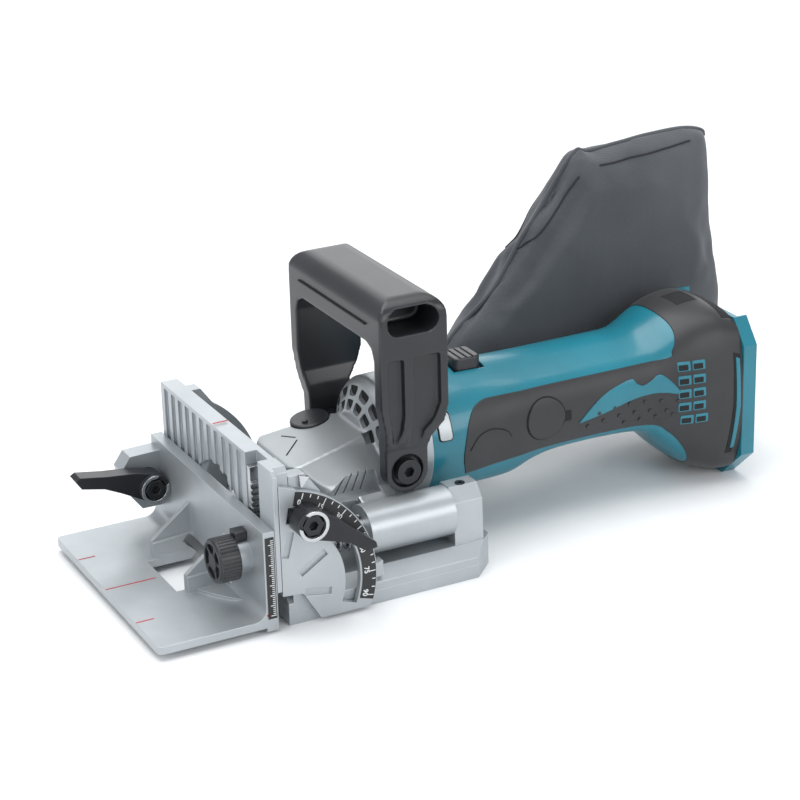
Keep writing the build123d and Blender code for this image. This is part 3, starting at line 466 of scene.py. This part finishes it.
# Y, crest half width and height, side half width, its upper and lower ends, bottom half width and height
STATIONS = [
    (TEAL_Y, 13.2, 85.9, 31.9, 67.2, 40.8, 13.2, 22.1),
    (62.0, 13.2, 85.9, 31.9, 67.2, 40.8, 13.2, 22.1),
    (78.0, 11.0, 86.0, 30.7, 69.0, 41.5, 13.4, 22.3),
    (96.0, 9.4, 85.2, 30.0, 72.0, 42.5, 13.2, 23.0),
    (108.0, 8.8, 85.0, 29.2, 72.8, 44.4, 15.0, 29.0),
    (122.0, 8.6, 84.9, 29.0, 73.2, 44.8, 17.0, 33.2),
    (150.0, 8.6, 84.9, 29.0, 73.5, 45.0, 17.0, 33.5),
    (172.0, 9.0, 85.2, 29.5, 74.0, 43.0, 18.0, 32.0),
    (181.0, 11.5, 88.0, 30.8, 75.2, 37.5, 19.0, 26.5),
    (189.0, 15.5, 92.0, 32.4, 76.5, 31.0, 20.0, 18.5),
    (199.0, 20.0, 95.0, 34.4, 77.5, 23.0, 21.0, 9.5),
    (211.0, 23.0, 96.2, 36.0, 78.0, 17.0, 21.0, 3.5),
    (218.0, 23.5, 95.2, 36.6, 78.0, 16.0, 20.5, 1.6),
    (MOUNT_Y, 24.0, 92.6, 36.9, 78.0, 15.5, 20.0, 1.2),
]


def chaikin(ring, rounds):
    """Rounds the corners of a closed ring by cutting each one, over and over."""
    for _ in range(rounds):
        cut = []
        for a, b in zip(ring, ring[1:] + ring[:1]):
            cut.append(tuple(0.75 * p + 0.25 * q for p, q in zip(a, b)))
            cut.append(tuple(0.25 * p + 0.75 * q for p, q in zip(a, b)))
        ring = cut
    return ring


def body_rings(offset):
    """Rings of the motor body's skin, moved outwards by offset."""
    rings = []
    for y, crest, top, half, upper, lower, base, low in curve_through(STATIONS, BODY_STEPS):
        right = [(crest, top), (half, upper), (half, lower), (base, low)]
        ring = chaikin(right + [(-x, z) for x, z in reversed(right)], 4)
        grown = []
        for before, at, after in zip(ring[-1:] + ring[:-1], ring, ring[1:] + ring[:1]):
            along = Vector((after[0] - before[0], after[1] - before[1])).normalized()
            grown.append((at[0] - along.y * offset, y, at[1] + along.x * offset))
        rings.append(grown)
    return rings


def panel_edge():
    """Side view of everything black on the body: side panel, then the whole battery mount."""
    front = curve_through([(63.7, 38.0), (61.2, 49.3), (64.1, 63.4), (69.5, 71.6), (77.0, 74.4)], 6)
    upper = curve_through([(120.0, 74.6), (178.0, 75.2), (186.5, 79.5), (190.5, 89.0), (187.5, 98.5)], 6)
    rear = [(MOUNT_Y + 1, 100.0), (MOUNT_Y + 1, 0.0), (203.0, 0.0)]
    lower = curve_through([(200.0, 10.0), (193.0, 24.0), (183.0, 35.5), (170.0, 41.0), (120.0, 41.5),
                           (80.0, 39.5)], 6)
    return front + upper + rear + lower


def skin_patch(name, outline, offset, material, side=0):
    """The part of the body's skin inside a side view outline, standing offset proud; side picks +X or -X."""
    patch = loft(name, body_rings(offset), material, "carriage")
    low, high = {0: (-WIDE, WIDE), 1: (12.0, WIDE), -1: (-WIDE, -12.0)}[side]
    return combine(patch, outline, "x", low, high, "INTERSECT")


def rounded_box(y, z, half_y, half_z, radius=1.0):
    ring = []
    for sy, sz, start in ((1, 1, 0), (-1, 1, 90), (-1, -1, 180), (1, -1, 270)):
        ring += arc((y + sy * (half_y - radius), z + sz * (half_z - radius)), radius, start, start + 90, 5)
    return ring


def side_name(side):
    return "near" if side > 0 else "far"


def motor_body():
    """Teal shell, the black panels and mount that wrap it, and the dark line around them."""
    shell = loft("motor_shell", body_rings(0.0), "teal", "carriage")
    combine(shell, box(-WIDE, WIDE, MOUNT_Y - 7, MOUNT_Y + 5), "z", -10, 120, "DIFFERENCE")
    combine(shell, box(-8.6, 8.6, 68.6, 86.0), "z", 80.0, 90.0, "DIFFERENCE")
    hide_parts("housing_left", "housing_right")
    black = skin_patch("motor_side_panels", panel_edge(), PANEL_PROUD, "rubber")
    combine(black, box(-26.0, 26.0, 14.0, 100.0), "y", MOUNT_Y - 7.0, MOUNT_Y + 1, "DIFFERENCE")
    latch = box(-8.0, 8.0, 201.0, 213.5)
    combine(black, latch, "z", 88.0, 100.0, "DIFFERENCE")
    rail_slot = box(-11.0, 11.0, 34.0, 62.0)
    combine(black, rail_slot, "y", MOUNT_Y - 9.0, MOUNT_Y, "DIFFERENCE")
    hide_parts("grip_left", "grip_right", "battery_mount")
    skin_patch("panel_seam", panel_edge(), 0.2, "dark_gap_and_shade")


def swoosh(side, tag):
    """Teal wave on the black panel."""
    wave = curve_through([(129.1, 51.5), (137.0, 59.4), (146.5, 65.3), (160.4, 69.0), (163.5, 66.4),
                          (167.5, 64.6), (172.5, 66.2), (177.6, 68.6), (183.5, 64.0), (188.1, 57.2),
                          (180.0, 58.6), (171.0, 59.2), (159.2, 57.9), (144.1, 54.1), (129.1, 51.5)], 4)[:-1]
    skin_patch(f"swoosh_{tag}", wave, 0.75, "teal", side)


def vents(side, tag):
    """Two columns of rimmed cooling slots; the lowest row is set back a little. Each slot is a dark patch on
    its rim, painted shade where the real slot opens into the body.
    """
    top, row_pitch, rows = 71.0, 7.3, 5
    front, column_pitch, columns = 190.6, 8.0, 2
    rims = []
    slot_shades = []
    for row in range(rows):
        z = top - row_pitch * row
        for column in range(columns):
            y = front + column_pitch * column + (row == rows - 1) * 1.5
            rims.append(rounded_box(y, z, 3.5, 2.5, 0.6))
            slot_shades.append(rounded_box(y - 0.4, z - 0.5, 2.5, 1.4, 0.4))
    joined(f"vent_rims_{tag}", [skin_patch("rim", r, 0.60, "teal", side) for r in rims])
    # Dark slot patches: painted shade for the openings.
    joined(f"vent_slot_shades_{tag}", [skin_patch("slot_shade", r, 0.75, "dark_gap_and_shade", side) for r in slot_shades])


def mount_strip(side, tag):
    """Teal strip in a dark groove, up the side of the battery mount."""
    strip = [(215.6, 18.0), (219.6, 18.0), (223.0, 45.0), (222.6, 73.0), (218.6, 74.5), (218.4, 45.0)]
    skin_patch(f"mount_groove_{tag}", strip, 0.55, "dark_gap_and_shade", side)
    inner = [(218.0, 21.0), (220.2, 21.0), (222.6, 45.0), (222.0, 71.0), (219.8, 72.0), (220.0, 45.0)]
    skin_patch(f"mount_strip_{tag}", inner, 0.9, "teal", side)


def brush_cover(side, tag):
    """Round brush cap in its groove, with a small dark notch behind it; the notch is painted shade in a
    recess.
    """
    skin_patch(f"cap_groove_{tag}", disc(CAP, 11.6, 48), 0.50, "dark_gap_and_shade", side)
    lid = skin_patch(f"brush_cover_{tag}", disc(CAP, 10.9, 48), 1.1, "rubber", side)
    if side > 0:
        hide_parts("brush_caps")
    # Dark patch for the notch: painted shade in the recess.
    notch_shade = rounded_box(CAP[0] + 12.6, CAP[1] - 1.0, 2.4, 2.8, 0.5)
    skin_patch(f"cap_notch_shade_{tag}", notch_shade, 0.62, "dark_gap_and_shade", side)


def thumb_crease_shade(side, tag):
    """Curved line in front of the brush cap, painted dark as the shade in a crease of the panel."""
    thumb = curve_through([(64.5, 52.0), (70.0, 58.5), (78.0, 60.5), (86.0, 58.0), (89.0, 54.0)], 4)
    under = curve_through([(89.0, 53.4), (86.0, 57.3), (78.0, 59.8), (70.0, 57.8), (64.9, 51.4)], 4)
    skin_patch(f"thumb_crease_shade_{tag}", thumb + under, 0.55, "dark_gap_and_shade", side)


def side_plug(side, tag):
    """Light metal plug in the teal just behind the motor ring."""
    y, z = 51.5, 66.5
    skin_patch(f"plug_gap_{tag}", rounded_box(y, z, 4.0, 7.0, 2.0), 0.25, "dark_gap_and_shade", side)
    cover = skin_patch(f"side_plug_{tag}", rounded_box(y, z, 3.4, 6.4, 1.6), 0.7, "alu_cast", side)
    if side > 0:
        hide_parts("side_plugs")


def grip_dots(side, tag):
    """Three bowed rows of small raised dots under the wave."""
    pitch = 9.2
    dots = []
    for row, (start, count, height) in enumerate(((141.0, 6, 53.0), (135.0, 6, 47.6), (157.0, 4, 43.6))):
        for k in range(count):
            y = start + pitch * k
            bow = 3.0 * math.sin(math.pi * min(1.0, (y - 130.0) / 55.0)) if row < 2 else 2.0
            dots.append(skin_patch("dot", disc((y, height + bow), 1.0, 10), 0.95, "black_plastic", side))
    joined(f"grip_dots_{tag}", dots)


def body_details():
    for side in (1, -1):
        for detail in (swoosh, vents, mount_strip, brush_cover, thumb_crease_shade, side_plug, grip_dots):
            detail(side, side_name(side))


motor_body()
body_details()


HANDLE_HALF = 51.0
HANDLE_TOP = 134.0
HANDLE_SKIN = 47.9
BOLT = (22.0, 56.0)
GUIDE_BAR = (49.0, 32.0)
LOCK_AT = (-20.0, 1.5)
LOCK_LEAN = (0.0, -0.17, 1.0)
TOP_SLOPE = 0.171
TOP_HEIGHT = 63.6


def sculpted(piece, voxel, rounds):
    """Softens a piece's corners: remeshed finely, then smoothed."""
    apply(piece, "REMESH", mode="VOXEL", voxel_size=voxel * MM)
    apply(piece, "SMOOTH", factor=0.5, iterations=rounds)
    piece.data.shade_smooth()


def d_handle():
    """Hoop over the gear head, with hollows in its outer faces and an opening in each end of the bar."""
    half = HANDLE_HALF
    right = [*arc((half - 10.0, HANDLE_TOP), 10.0, 90, 0, 6), (half, 79.0), (49.5, 73.0), (46.8, 67.0),
             (46.5, 44.0)]
    inner = [(38.3, 44.0), (38.3, 66.0), (39.6, 73.0), (43.0, 80.0), (43.0, 114.0), (40.6, 119.6),
             (35.0, 122.0)]
    outline = right + inner
    outline += [(-x, z) for x, z in reversed(inner)] + [(-x, z) for x, z in reversed(right)]
    hoop = add_piece("d_handle_grip", prism_mesh(outline, "y", 7.0, 43.0), "black_plastic", "carriage")
    side = [*arc((17.0, HANDLE_TOP), 10.0, 170, 90, 6), *arc((33.0, HANDLE_TOP), 10.0, 90, 10, 6),
            (43.0, 88.0), (40.5, 80.0), (34.5, 73.0), (33.2, 66.0), *arc(BOLT, 11.4, 10, -190, 18),
            (10.6, 68.0), (7.0, 92.0)]
    combine(hoop, side, "x", -WIDE, WIDE, "INTERSECT")
    front = [(11.0, 115.0), (19.5, 115.0), (19.5, 88.0), (18.0, 78.0), (14.6, 69.5), (13.4, 73.0),
             (11.0, 90.0)]
    rear = [(24.0, 115.0), (38.8, 115.0), (38.8, 90.0), (35.5, 82.5), (29.6, 76.5), (28.6, 69.0),
            (20.4, 69.0), (23.2, 78.0), (24.0, 88.0)]
    mouth = rounded_box(25.0, 133.4, 13.6, 6.3, 6.2)
    for low, high in ((HANDLE_SKIN, WIDE), (-WIDE, -HANDLE_SKIN)):
        combine(hoop, front, "x", low, high, "DIFFERENCE")
        combine(hoop, rear, "x", low, high, "DIFFERENCE")
        combine(hoop, disc(BOLT, 8.4, 36), "x", min(low, high - 16.4), max(high, low + 16.4), "DIFFERENCE")
    for low, high in ((30.0, WIDE), (-WIDE, -30.0)):
        combine(hoop, mouth, "x", low, high, "DIFFERENCE")
    sculpted(hoop, 0.75, 3)
    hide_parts("d_handle")
    # Dark line across the front of the bar: painted shade in a groove.
    crease = [(7.0, 130.6), (7.0, 131.4), (6.4, 131.4), (6.4, 130.6)]
    prism("grip_groove_shade", crease, "x", -38.0, 36.0, "dark_gap_and_shade", "carriage")


def head_casting():
    """Head of the gear housing, its two wings and the cone that meets the motor ring, softened as one."""
    plan = [*arc((0.0, 0.0), 34.0, 180, 360, 40), (34.0, 24.0), (-34.0, 24.0)]
    head = add_piece("gear_head_shell", prism_mesh(plan, "z", 18.0, 70.0), "alu_cast", "carriage")
    side = [(-36.0, 17.0), (-36.0, 46.0), (-33.0, 54.5), (-28.0, 58.8), (0.0, TOP_HEIGHT), (24.0, 68.0),
            (24.0, 17.0)]
    combine(head, side, "x", -WIDE, WIDE, "INTERSECT")
    right = [(13.0, 69.0), (20.0, 63.0), (31.0, 49.0), (34.5, 41.0), (34.5, 17.0)]
    ends = [(-x, z) for x, z in reversed(right)] + right
    combine(head, ends, "y", -WIDE, WIDE, "INTERSECT")
    wing_outline = [(-49.0, 26.0), (49.0, 26.0), (49.0, 38.0), (30.0, 46.0), (-30.0, 46.0), (-49.0, 38.0)]
    wing = add_piece("wing", prism_mesh(wing_outline, "y", 0.0, 19.0), "alu_cast", "carriage")
    turns = [math.tau * k / 72 for k in range(72)]
    rings = [[(r * math.cos(a), y, MOTOR_Z + r * math.sin(a)) for a in turns]
             for r, y in ((17.0, 14.5), (30.5, 21.0), (33.6, 25.0), (33.9, 36.9))]
    barrel = loft("barrel", rings, "alu_cast", "carriage")
    head = joined("gear_head_shell", [head, wing, barrel])
    sculpted(head, 0.85, 4)
    bar_x, bar_z = GUIDE_BAR
    for x in (-bar_x, bar_x):
        combine(head, disc((x, bar_z), 12.6, 40), "y", -12.0, WIDE, "DIFFERENCE")
    return head


def lock_cap(head):
    """Round shaft lock button in its pocket, with a small dimple."""
    x, y = LOCK_AT
    combine(head, disc(LOCK_AT, 10.5, 40), "z", 60.0, 80.0, "DIFFERENCE")
    button = rod("shaft_lock_cap", (x, y, 62.4), LOCK_LEAN, 10.0, 5.0, "black_plastic", "lock_button",
                 bevel=1.0)
    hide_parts("shaft_lock_button")
    rod("shaft_lock_dimple", (x + 3.0, y - 4.0, 64.4), LOCK_LEAN, 1.5, 1.6, "blackened", "lock_button")


def bulkhead_windows(head):
    """Two rows of rounded windows through the cone, each with a dark plug behind it as painted shade for the
    dark inside of the head.
    """
    count = 6
    near_end, far_end = 0.85, 0.15
    shade_plugs = []
    for row, (radius, width) in enumerate(((20.6, 6.4), (27.2, 8.2))):
        for k in range(count):
            middle = math.radians(30.0 + 120.0 * k / (count - 1))
            spread = width / 2 / radius
            inner, outer = radius - 2.4, radius + 2.6
            corners = [(inner, middle - spread), (outer, middle - spread), (outer, middle + spread),
                       (inner, middle + spread)]
            square = [(r * math.cos(a), MOTOR_Z + r * math.sin(a)) for r, a in corners]
            ring = []
            for (x0, z0), (x1, z1) in zip(square, square[1:] + square[:1]):
                ring.append((near_end * x0 + far_end * x1, near_end * z0 + far_end * z1))
                ring.append((far_end * x0 + near_end * x1, far_end * z0 + near_end * z1))
            outline = chaikin(ring, 2)
            combine(head, outline, "y", 12.9, 30.0, "DIFFERENCE")
            # The dark plug is painted shade in the window, not a part.
            shade_plugs.append(prism("window_shade", outline, "y", 17.4 + 3.2 * row, 30.4, "dark_gap_and_shade", "carriage"))
    joined("bulkhead_windows", shade_plugs)


def shoulder_grooves(head):
    """Flat panel on each shoulder with five slanted grooves."""
    for side in (1, -1):
        low, high = sorted((side * 28.6, side * 36.0))
        panel = curve_through([(-19.0, 41.0), (-11.0, 47.5), (0.0, 53.0), (13.0, 58.5)], 4) + [(13.0, 41.0)]
        combine(head, panel, "x", low, high, "DIFFERENCE")
        low, high = sorted((side * 27.6, side * 36.0))
        for k in range(5):
            y = -9.0 + 4.6 * k
            top = 49.0 + 1.7 * k
            slant = [(y - 5.0, 43.0), (y - 4.2, 43.0), (y + 0.8, top), (y, top)]
            combine(head, slant, "x", low, high, "DIFFERENCE")


def arrow_marks():
    """Two dark strokes of an arrow on the sloping top of the head."""
    strokes = (("arrow_shaft", (7.0, -24.0), (-4.0, -13.0)), ("arrow_head", (-7.0, -12.5), (-14.0, -17.0)))
    for name, (x0, y0), (x1, y1) in strokes:
        across = Vector((y0 - y1, x1 - x0)).normalized() * 0.35
        outline = [(x0 + across.x, y0 + across.y), (x1 + across.x, y1 + across.y),
                   (x1 - across.x, y1 - across.y), (x0 - across.x, y0 - across.y)]
        bar = prism(name, outline, "z", 57.5, 64.0, "dark_gap_and_shade", "carriage")
        for vertex in bar.data.vertices:
            top = TOP_HEIGHT + (vertex.co.y / MM) * TOP_SLOPE
            vertex.co.z = (top - 1.2 if vertex.co.z < 60.0 * MM else top + 0.12) * MM


def gear_head():
    head = head_casting()
    lock_cap(head)
    bulkhead_windows(head)
    shoulder_grooves(head)
    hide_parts("gear_housing")
    arrow_marks()


d_handle()
gear_head()


# ------------------------------------------------------------------ dust bag

BAG_LEFT = -72.0
BAG_RIGHT = -40.5
BAG_EDGE = [(101.0, 24.0), (90.0, 52.5), (104.0, 84.0), (172.0, 164.0), (186.0, 169.0), (252.0, 170.0),
            (261.0, 163.0), (266.0, 112.0), (273.0, 60.0), (262.0, 45.0), (150.0, 27.0)]
BAG_MIDDLE = (BAG_LEFT + BAG_RIGHT) / 2
BAG_CENTRE = (190.0, 110.0)
BAG_CELL = 0.005
BAG_PRESSURE = 4.0
BAG_REACH = 0.009
CLOTH_FRAMES = 20
NECK = (-51.0, 67.0, 26.0)
NECK_LEAN = math.radians(25.0)


def bag_mesh():
    """Pillow of cloth, widest in the bag's middle plane and narrowing to both sides."""
    centre = (sum(p[0] for p in BAG_EDGE) / len(BAG_EDGE), sum(p[1] for p in BAG_EDGE) / len(BAG_EDGE))
    rim = curve_through(BAG_EDGE + [BAG_EDGE[0]], 6)[:-1]
    rings = []
    steps = 9
    for k in range(-steps, steps + 1):
        share = k / steps
        depth = math.copysign(abs(share) ** 0.8, share) * 13.0
        grow = 1.0 - 0.28 * abs(share) ** 2.2
        rings.append([(BAG_MIDDLE + depth, centre[0] + (y - centre[0]) * grow,
                       centre[1] + (z - centre[1]) * grow) for y, z in rim])
    return rings


def inflate(bag):
    """Blows the bag up as cloth, then limits how far any point has moved."""
    rest = [v.co.copy() for v in bag.data.vertices]
    cloth = bag.modifiers.new("cloth", "CLOTH")
    cloth.settings.use_pressure = True
    cloth.settings.uniform_pressure_force = BAG_PRESSURE
    cloth.settings.effector_weights.gravity = 0.0
    cloth.settings.quality = 5
    cloth.point_cache.frame_start = 1
    cloth.point_cache.frame_end = CLOTH_FRAMES
    for number in range(1, CLOTH_FRAMES + 1):
        bpy.context.scene.frame_set(number)
    depsgraph = bpy.context.evaluated_depsgraph_get()
    swollen = bpy.data.meshes.new_from_object(bag.evaluated_get(depsgraph))
    bag.modifiers.clear()
    bag.data = swollen
    for vertex, start in zip(bag.data.vertices, rest):
        move = vertex.co - start
        if move.length > BAG_REACH:
            vertex.co = start + move * (BAG_REACH / move.length)
    bpy.context.scene.frame_set(1)


def dust_bag():
    """Inflated bag with soft folds, held inside a fixed box."""
    bag = loft("dust_bag_cloth", bag_mesh(), "fabric", "base")
    apply(bag, "REMESH", mode="VOXEL", voxel_size=BAG_CELL)
    inflate(bag)
    apply(bag, "SUBSURF", levels=1)
    low = point(BAG_LEFT - 1.0, 84.0, 25.0)
    high = point(BAG_RIGHT + 0.5, 278.0, 174.0)
    for vertex in bag.data.vertices:
        at = vertex.co / MM
        fold = noise.fractal(Vector((at.x / 60, at.y / 42, at.z / 52)), 1.0, 2.0, 3)
        crease = noise.noise(Vector((at.x / 90, (at.y + at.z) / 26, (at.y - at.z) / 90)))
        side = 1.0 if at.x > BAG_MIDDLE else -1.0
        vertex.co.x += side * (fold * 2.6 + crease * 0.9) * MM
        for axis in range(3):
            vertex.co[axis] = min(max(vertex.co[axis], low[axis]), high[axis])
    bag.data.materials.clear()
    bag.data.materials.append(MATERIALS["fabric"])
    bag.data.shade_smooth()
    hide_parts("dust_bag")
    return bag


def seam_line(name, route, radius, material="fabric"):
    """Round cord along a route of points: a folded binding, or a row of stitches."""
    curve = bpy.data.curves.new(name, "CURVE")
    curve.dimensions = "3D"
    curve.bevel_depth = radius * MM
    curve.bevel_resolution = 3
    spline = curve.splines.new("NURBS")
    spline.points.add(len(route) - 1)
    for knot, at in zip(spline.points, route):
        knot.co = (*point(*at), 1)
    spline.order_u = 3
    spline.use_endpoint_u = True
    source = bpy.data.objects.new(name + "_source", curve)
    bpy.context.scene.collection.objects.link(source)
    mesh = bpy.data.meshes.new_from_object(source)
    bpy.data.objects.remove(source)
    return add_piece(name, mesh, material, "base")


def bag_neck():
    """Gathered sleeve that joins the bag to its collar."""
    x, y, z = NECK
    rings = []
    for step, (reach, radius) in enumerate(((11.0, 17.0), (14.0, 18.2), (20.0, 17.2), (27.0, 19.0),
                                            (36.0, 19.0))):
        ring = []
        for k in range(48):
            a = math.tau * k / 48
            r = radius + 0.5 * math.sin(9 * a + step)
            across = r * math.sin(a)
            ring.append((x + r * math.cos(a), y + reach * math.cos(NECK_LEAN) - across * math.sin(NECK_LEAN),
                         z + reach * math.sin(NECK_LEAN) + across * math.cos(NECK_LEAN)))
        rings.append(ring)
    loft("bag_neck", rings, "fabric", "base")


def stitches(tree, name, ends, side):
    """Stitch line on one face of the bag, a little inside the edge between two corners."""
    (y0, z0), (y1, z1) = ends
    inset = 9.0
    steps = 24
    route = []
    for k in range(steps + 1):
        y = y0 + (y1 - y0) * k / steps
        z = z0 + (z1 - z0) * k / steps
        inward = Vector((BAG_CENTRE[0] - y, BAG_CENTRE[1] - z)).normalized() * inset
        hit = tree.ray_cast(point(side * 300.0, y + inward.x, z + inward.y), Vector((-side, 0, 0)))[0]
        if hit:
            route.append((hit.x / MM + side * 0.1, hit.y / MM, hit.z / MM))
    seam_line(f"{name}_{side_name(side)}", route, 0.55, "seam_thread")


def binding(tree, name, corners):
    """Binding on the bag's edge, laid on the surface that the simulation gave."""
    route = []
    for y, z in curve_through(corners, 8):
        near = tree.find_nearest(point(BAG_MIDDLE, y, z))[0]
        route.append(tuple(near / MM))
    seam_line(name, route, 1.3)


def bag_seams(bag):
    bag_neck()
    tree = BVHTree.FromObject(bag, bpy.context.evaluated_depsgraph_get())
    for name, ends in (("bag_front_stitch", BAG_EDGE[2:4]), ("bag_top_stitch", BAG_EDGE[4:6])):
        for side in (1, -1):
            stitches(tree, name, ends, side)
    binding(tree, "bag_front_binding", BAG_EDGE[1:5])
    binding(tree, "bag_top_binding", BAG_EDGE[4:7])


bag_seams(dust_bag())


# ------------------------------------------------------------------ camera, light and floor

def aim(obj, target):
    obj.rotation_euler = (Vector(target) - obj.location).to_track_quat("-Z", "Y").to_euler()


def softbox(name, place, target, size, power):
    data = bpy.data.lights.new(name, "AREA")
    data.shape = "RECTANGLE"
    data.size, data.size_y = size
    data.energy = power
    obj = bpy.data.objects.new(name, data)
    bpy.context.scene.collection.objects.link(obj)
    obj.location = place
    aim(obj, target)


FLOOR_HALF = 6.0
WORLD_STRENGTH = 0.62
LENS = 107.57
SENSOR = 36.0
AZIMUTH, ELEVATION, ROLL = (math.radians(v) for v in (63.241, 21.966, -1.580))
CAMERA_AT = (0.9884, -0.4560, 0.5189)


def studio():
    """Four soft lights, pale surroundings and a plain floor, in metres."""
    middle = (0.0, 0.06, 0.06)
    softbox("top_softbox", (-0.15, 0.0, 1.3), middle, (1.3, 1.3), 17.0)
    softbox("back_softbox", (-1.6, 1.0, 0.75), middle, (1.8, 1.0), 8.0)
    softbox("front_softbox", (0.5, -1.4, 0.8), middle, (0.9, 0.9), 6.0)
    softbox("side_softbox", (1.5, 0.6, 0.7), middle, (1.0, 0.8), 9.0)
    world = bpy.data.worlds.new("studio")
    world.use_nodes = True
    background = world.node_tree.nodes["Background"]
    background.inputs["Color"].default_value = (0.94, 0.97, 1.0, 1)
    background.inputs["Strength"].default_value = WORLD_STRENGTH
    bpy.context.scene.world = world
    mesh = bpy.data.meshes.new("studio_floor")
    corners = [(a, b, 0) for a, b in box(-FLOOR_HALF, FLOOR_HALF, -FLOOR_HALF, FLOOR_HALF)]
    mesh.from_pydata(corners, [], [(0, 1, 2, 3)])
    floor = bpy.data.objects.new("studio_floor", mesh)
    bpy.context.scene.collection.objects.link(floor)
    mesh.materials.append(MATERIALS["floor_paint"])


def camera():
    """Looks along the photograph's direction, in degrees from -Y towards +X, up and rolled."""
    data = bpy.data.cameras.new("camera")
    data.lens = LENS
    data.sensor_width = SENSOR
    obj = bpy.data.objects.new("camera", data)
    bpy.context.scene.collection.objects.link(obj)
    back = Vector((math.sin(AZIMUTH) * math.cos(ELEVATION), -math.cos(AZIMUTH) * math.cos(ELEVATION),
                   math.sin(ELEVATION)))
    right = (-back).cross(Vector((0, 0, 1))).normalized()
    up = right.cross(-back)
    tilted = right * math.cos(ROLL) + up * math.sin(ROLL)
    above = up * math.cos(ROLL) - right * math.sin(ROLL)
    spin = Matrix((tilted, above, back)).transposed()
    obj.matrix_world = Matrix.Translation(CAMERA_AT) @ spin.to_4x4()
    bpy.context.scene.camera = obj


studio()
camera()
bpy.context.scene.view_settings.view_transform = "Standard"
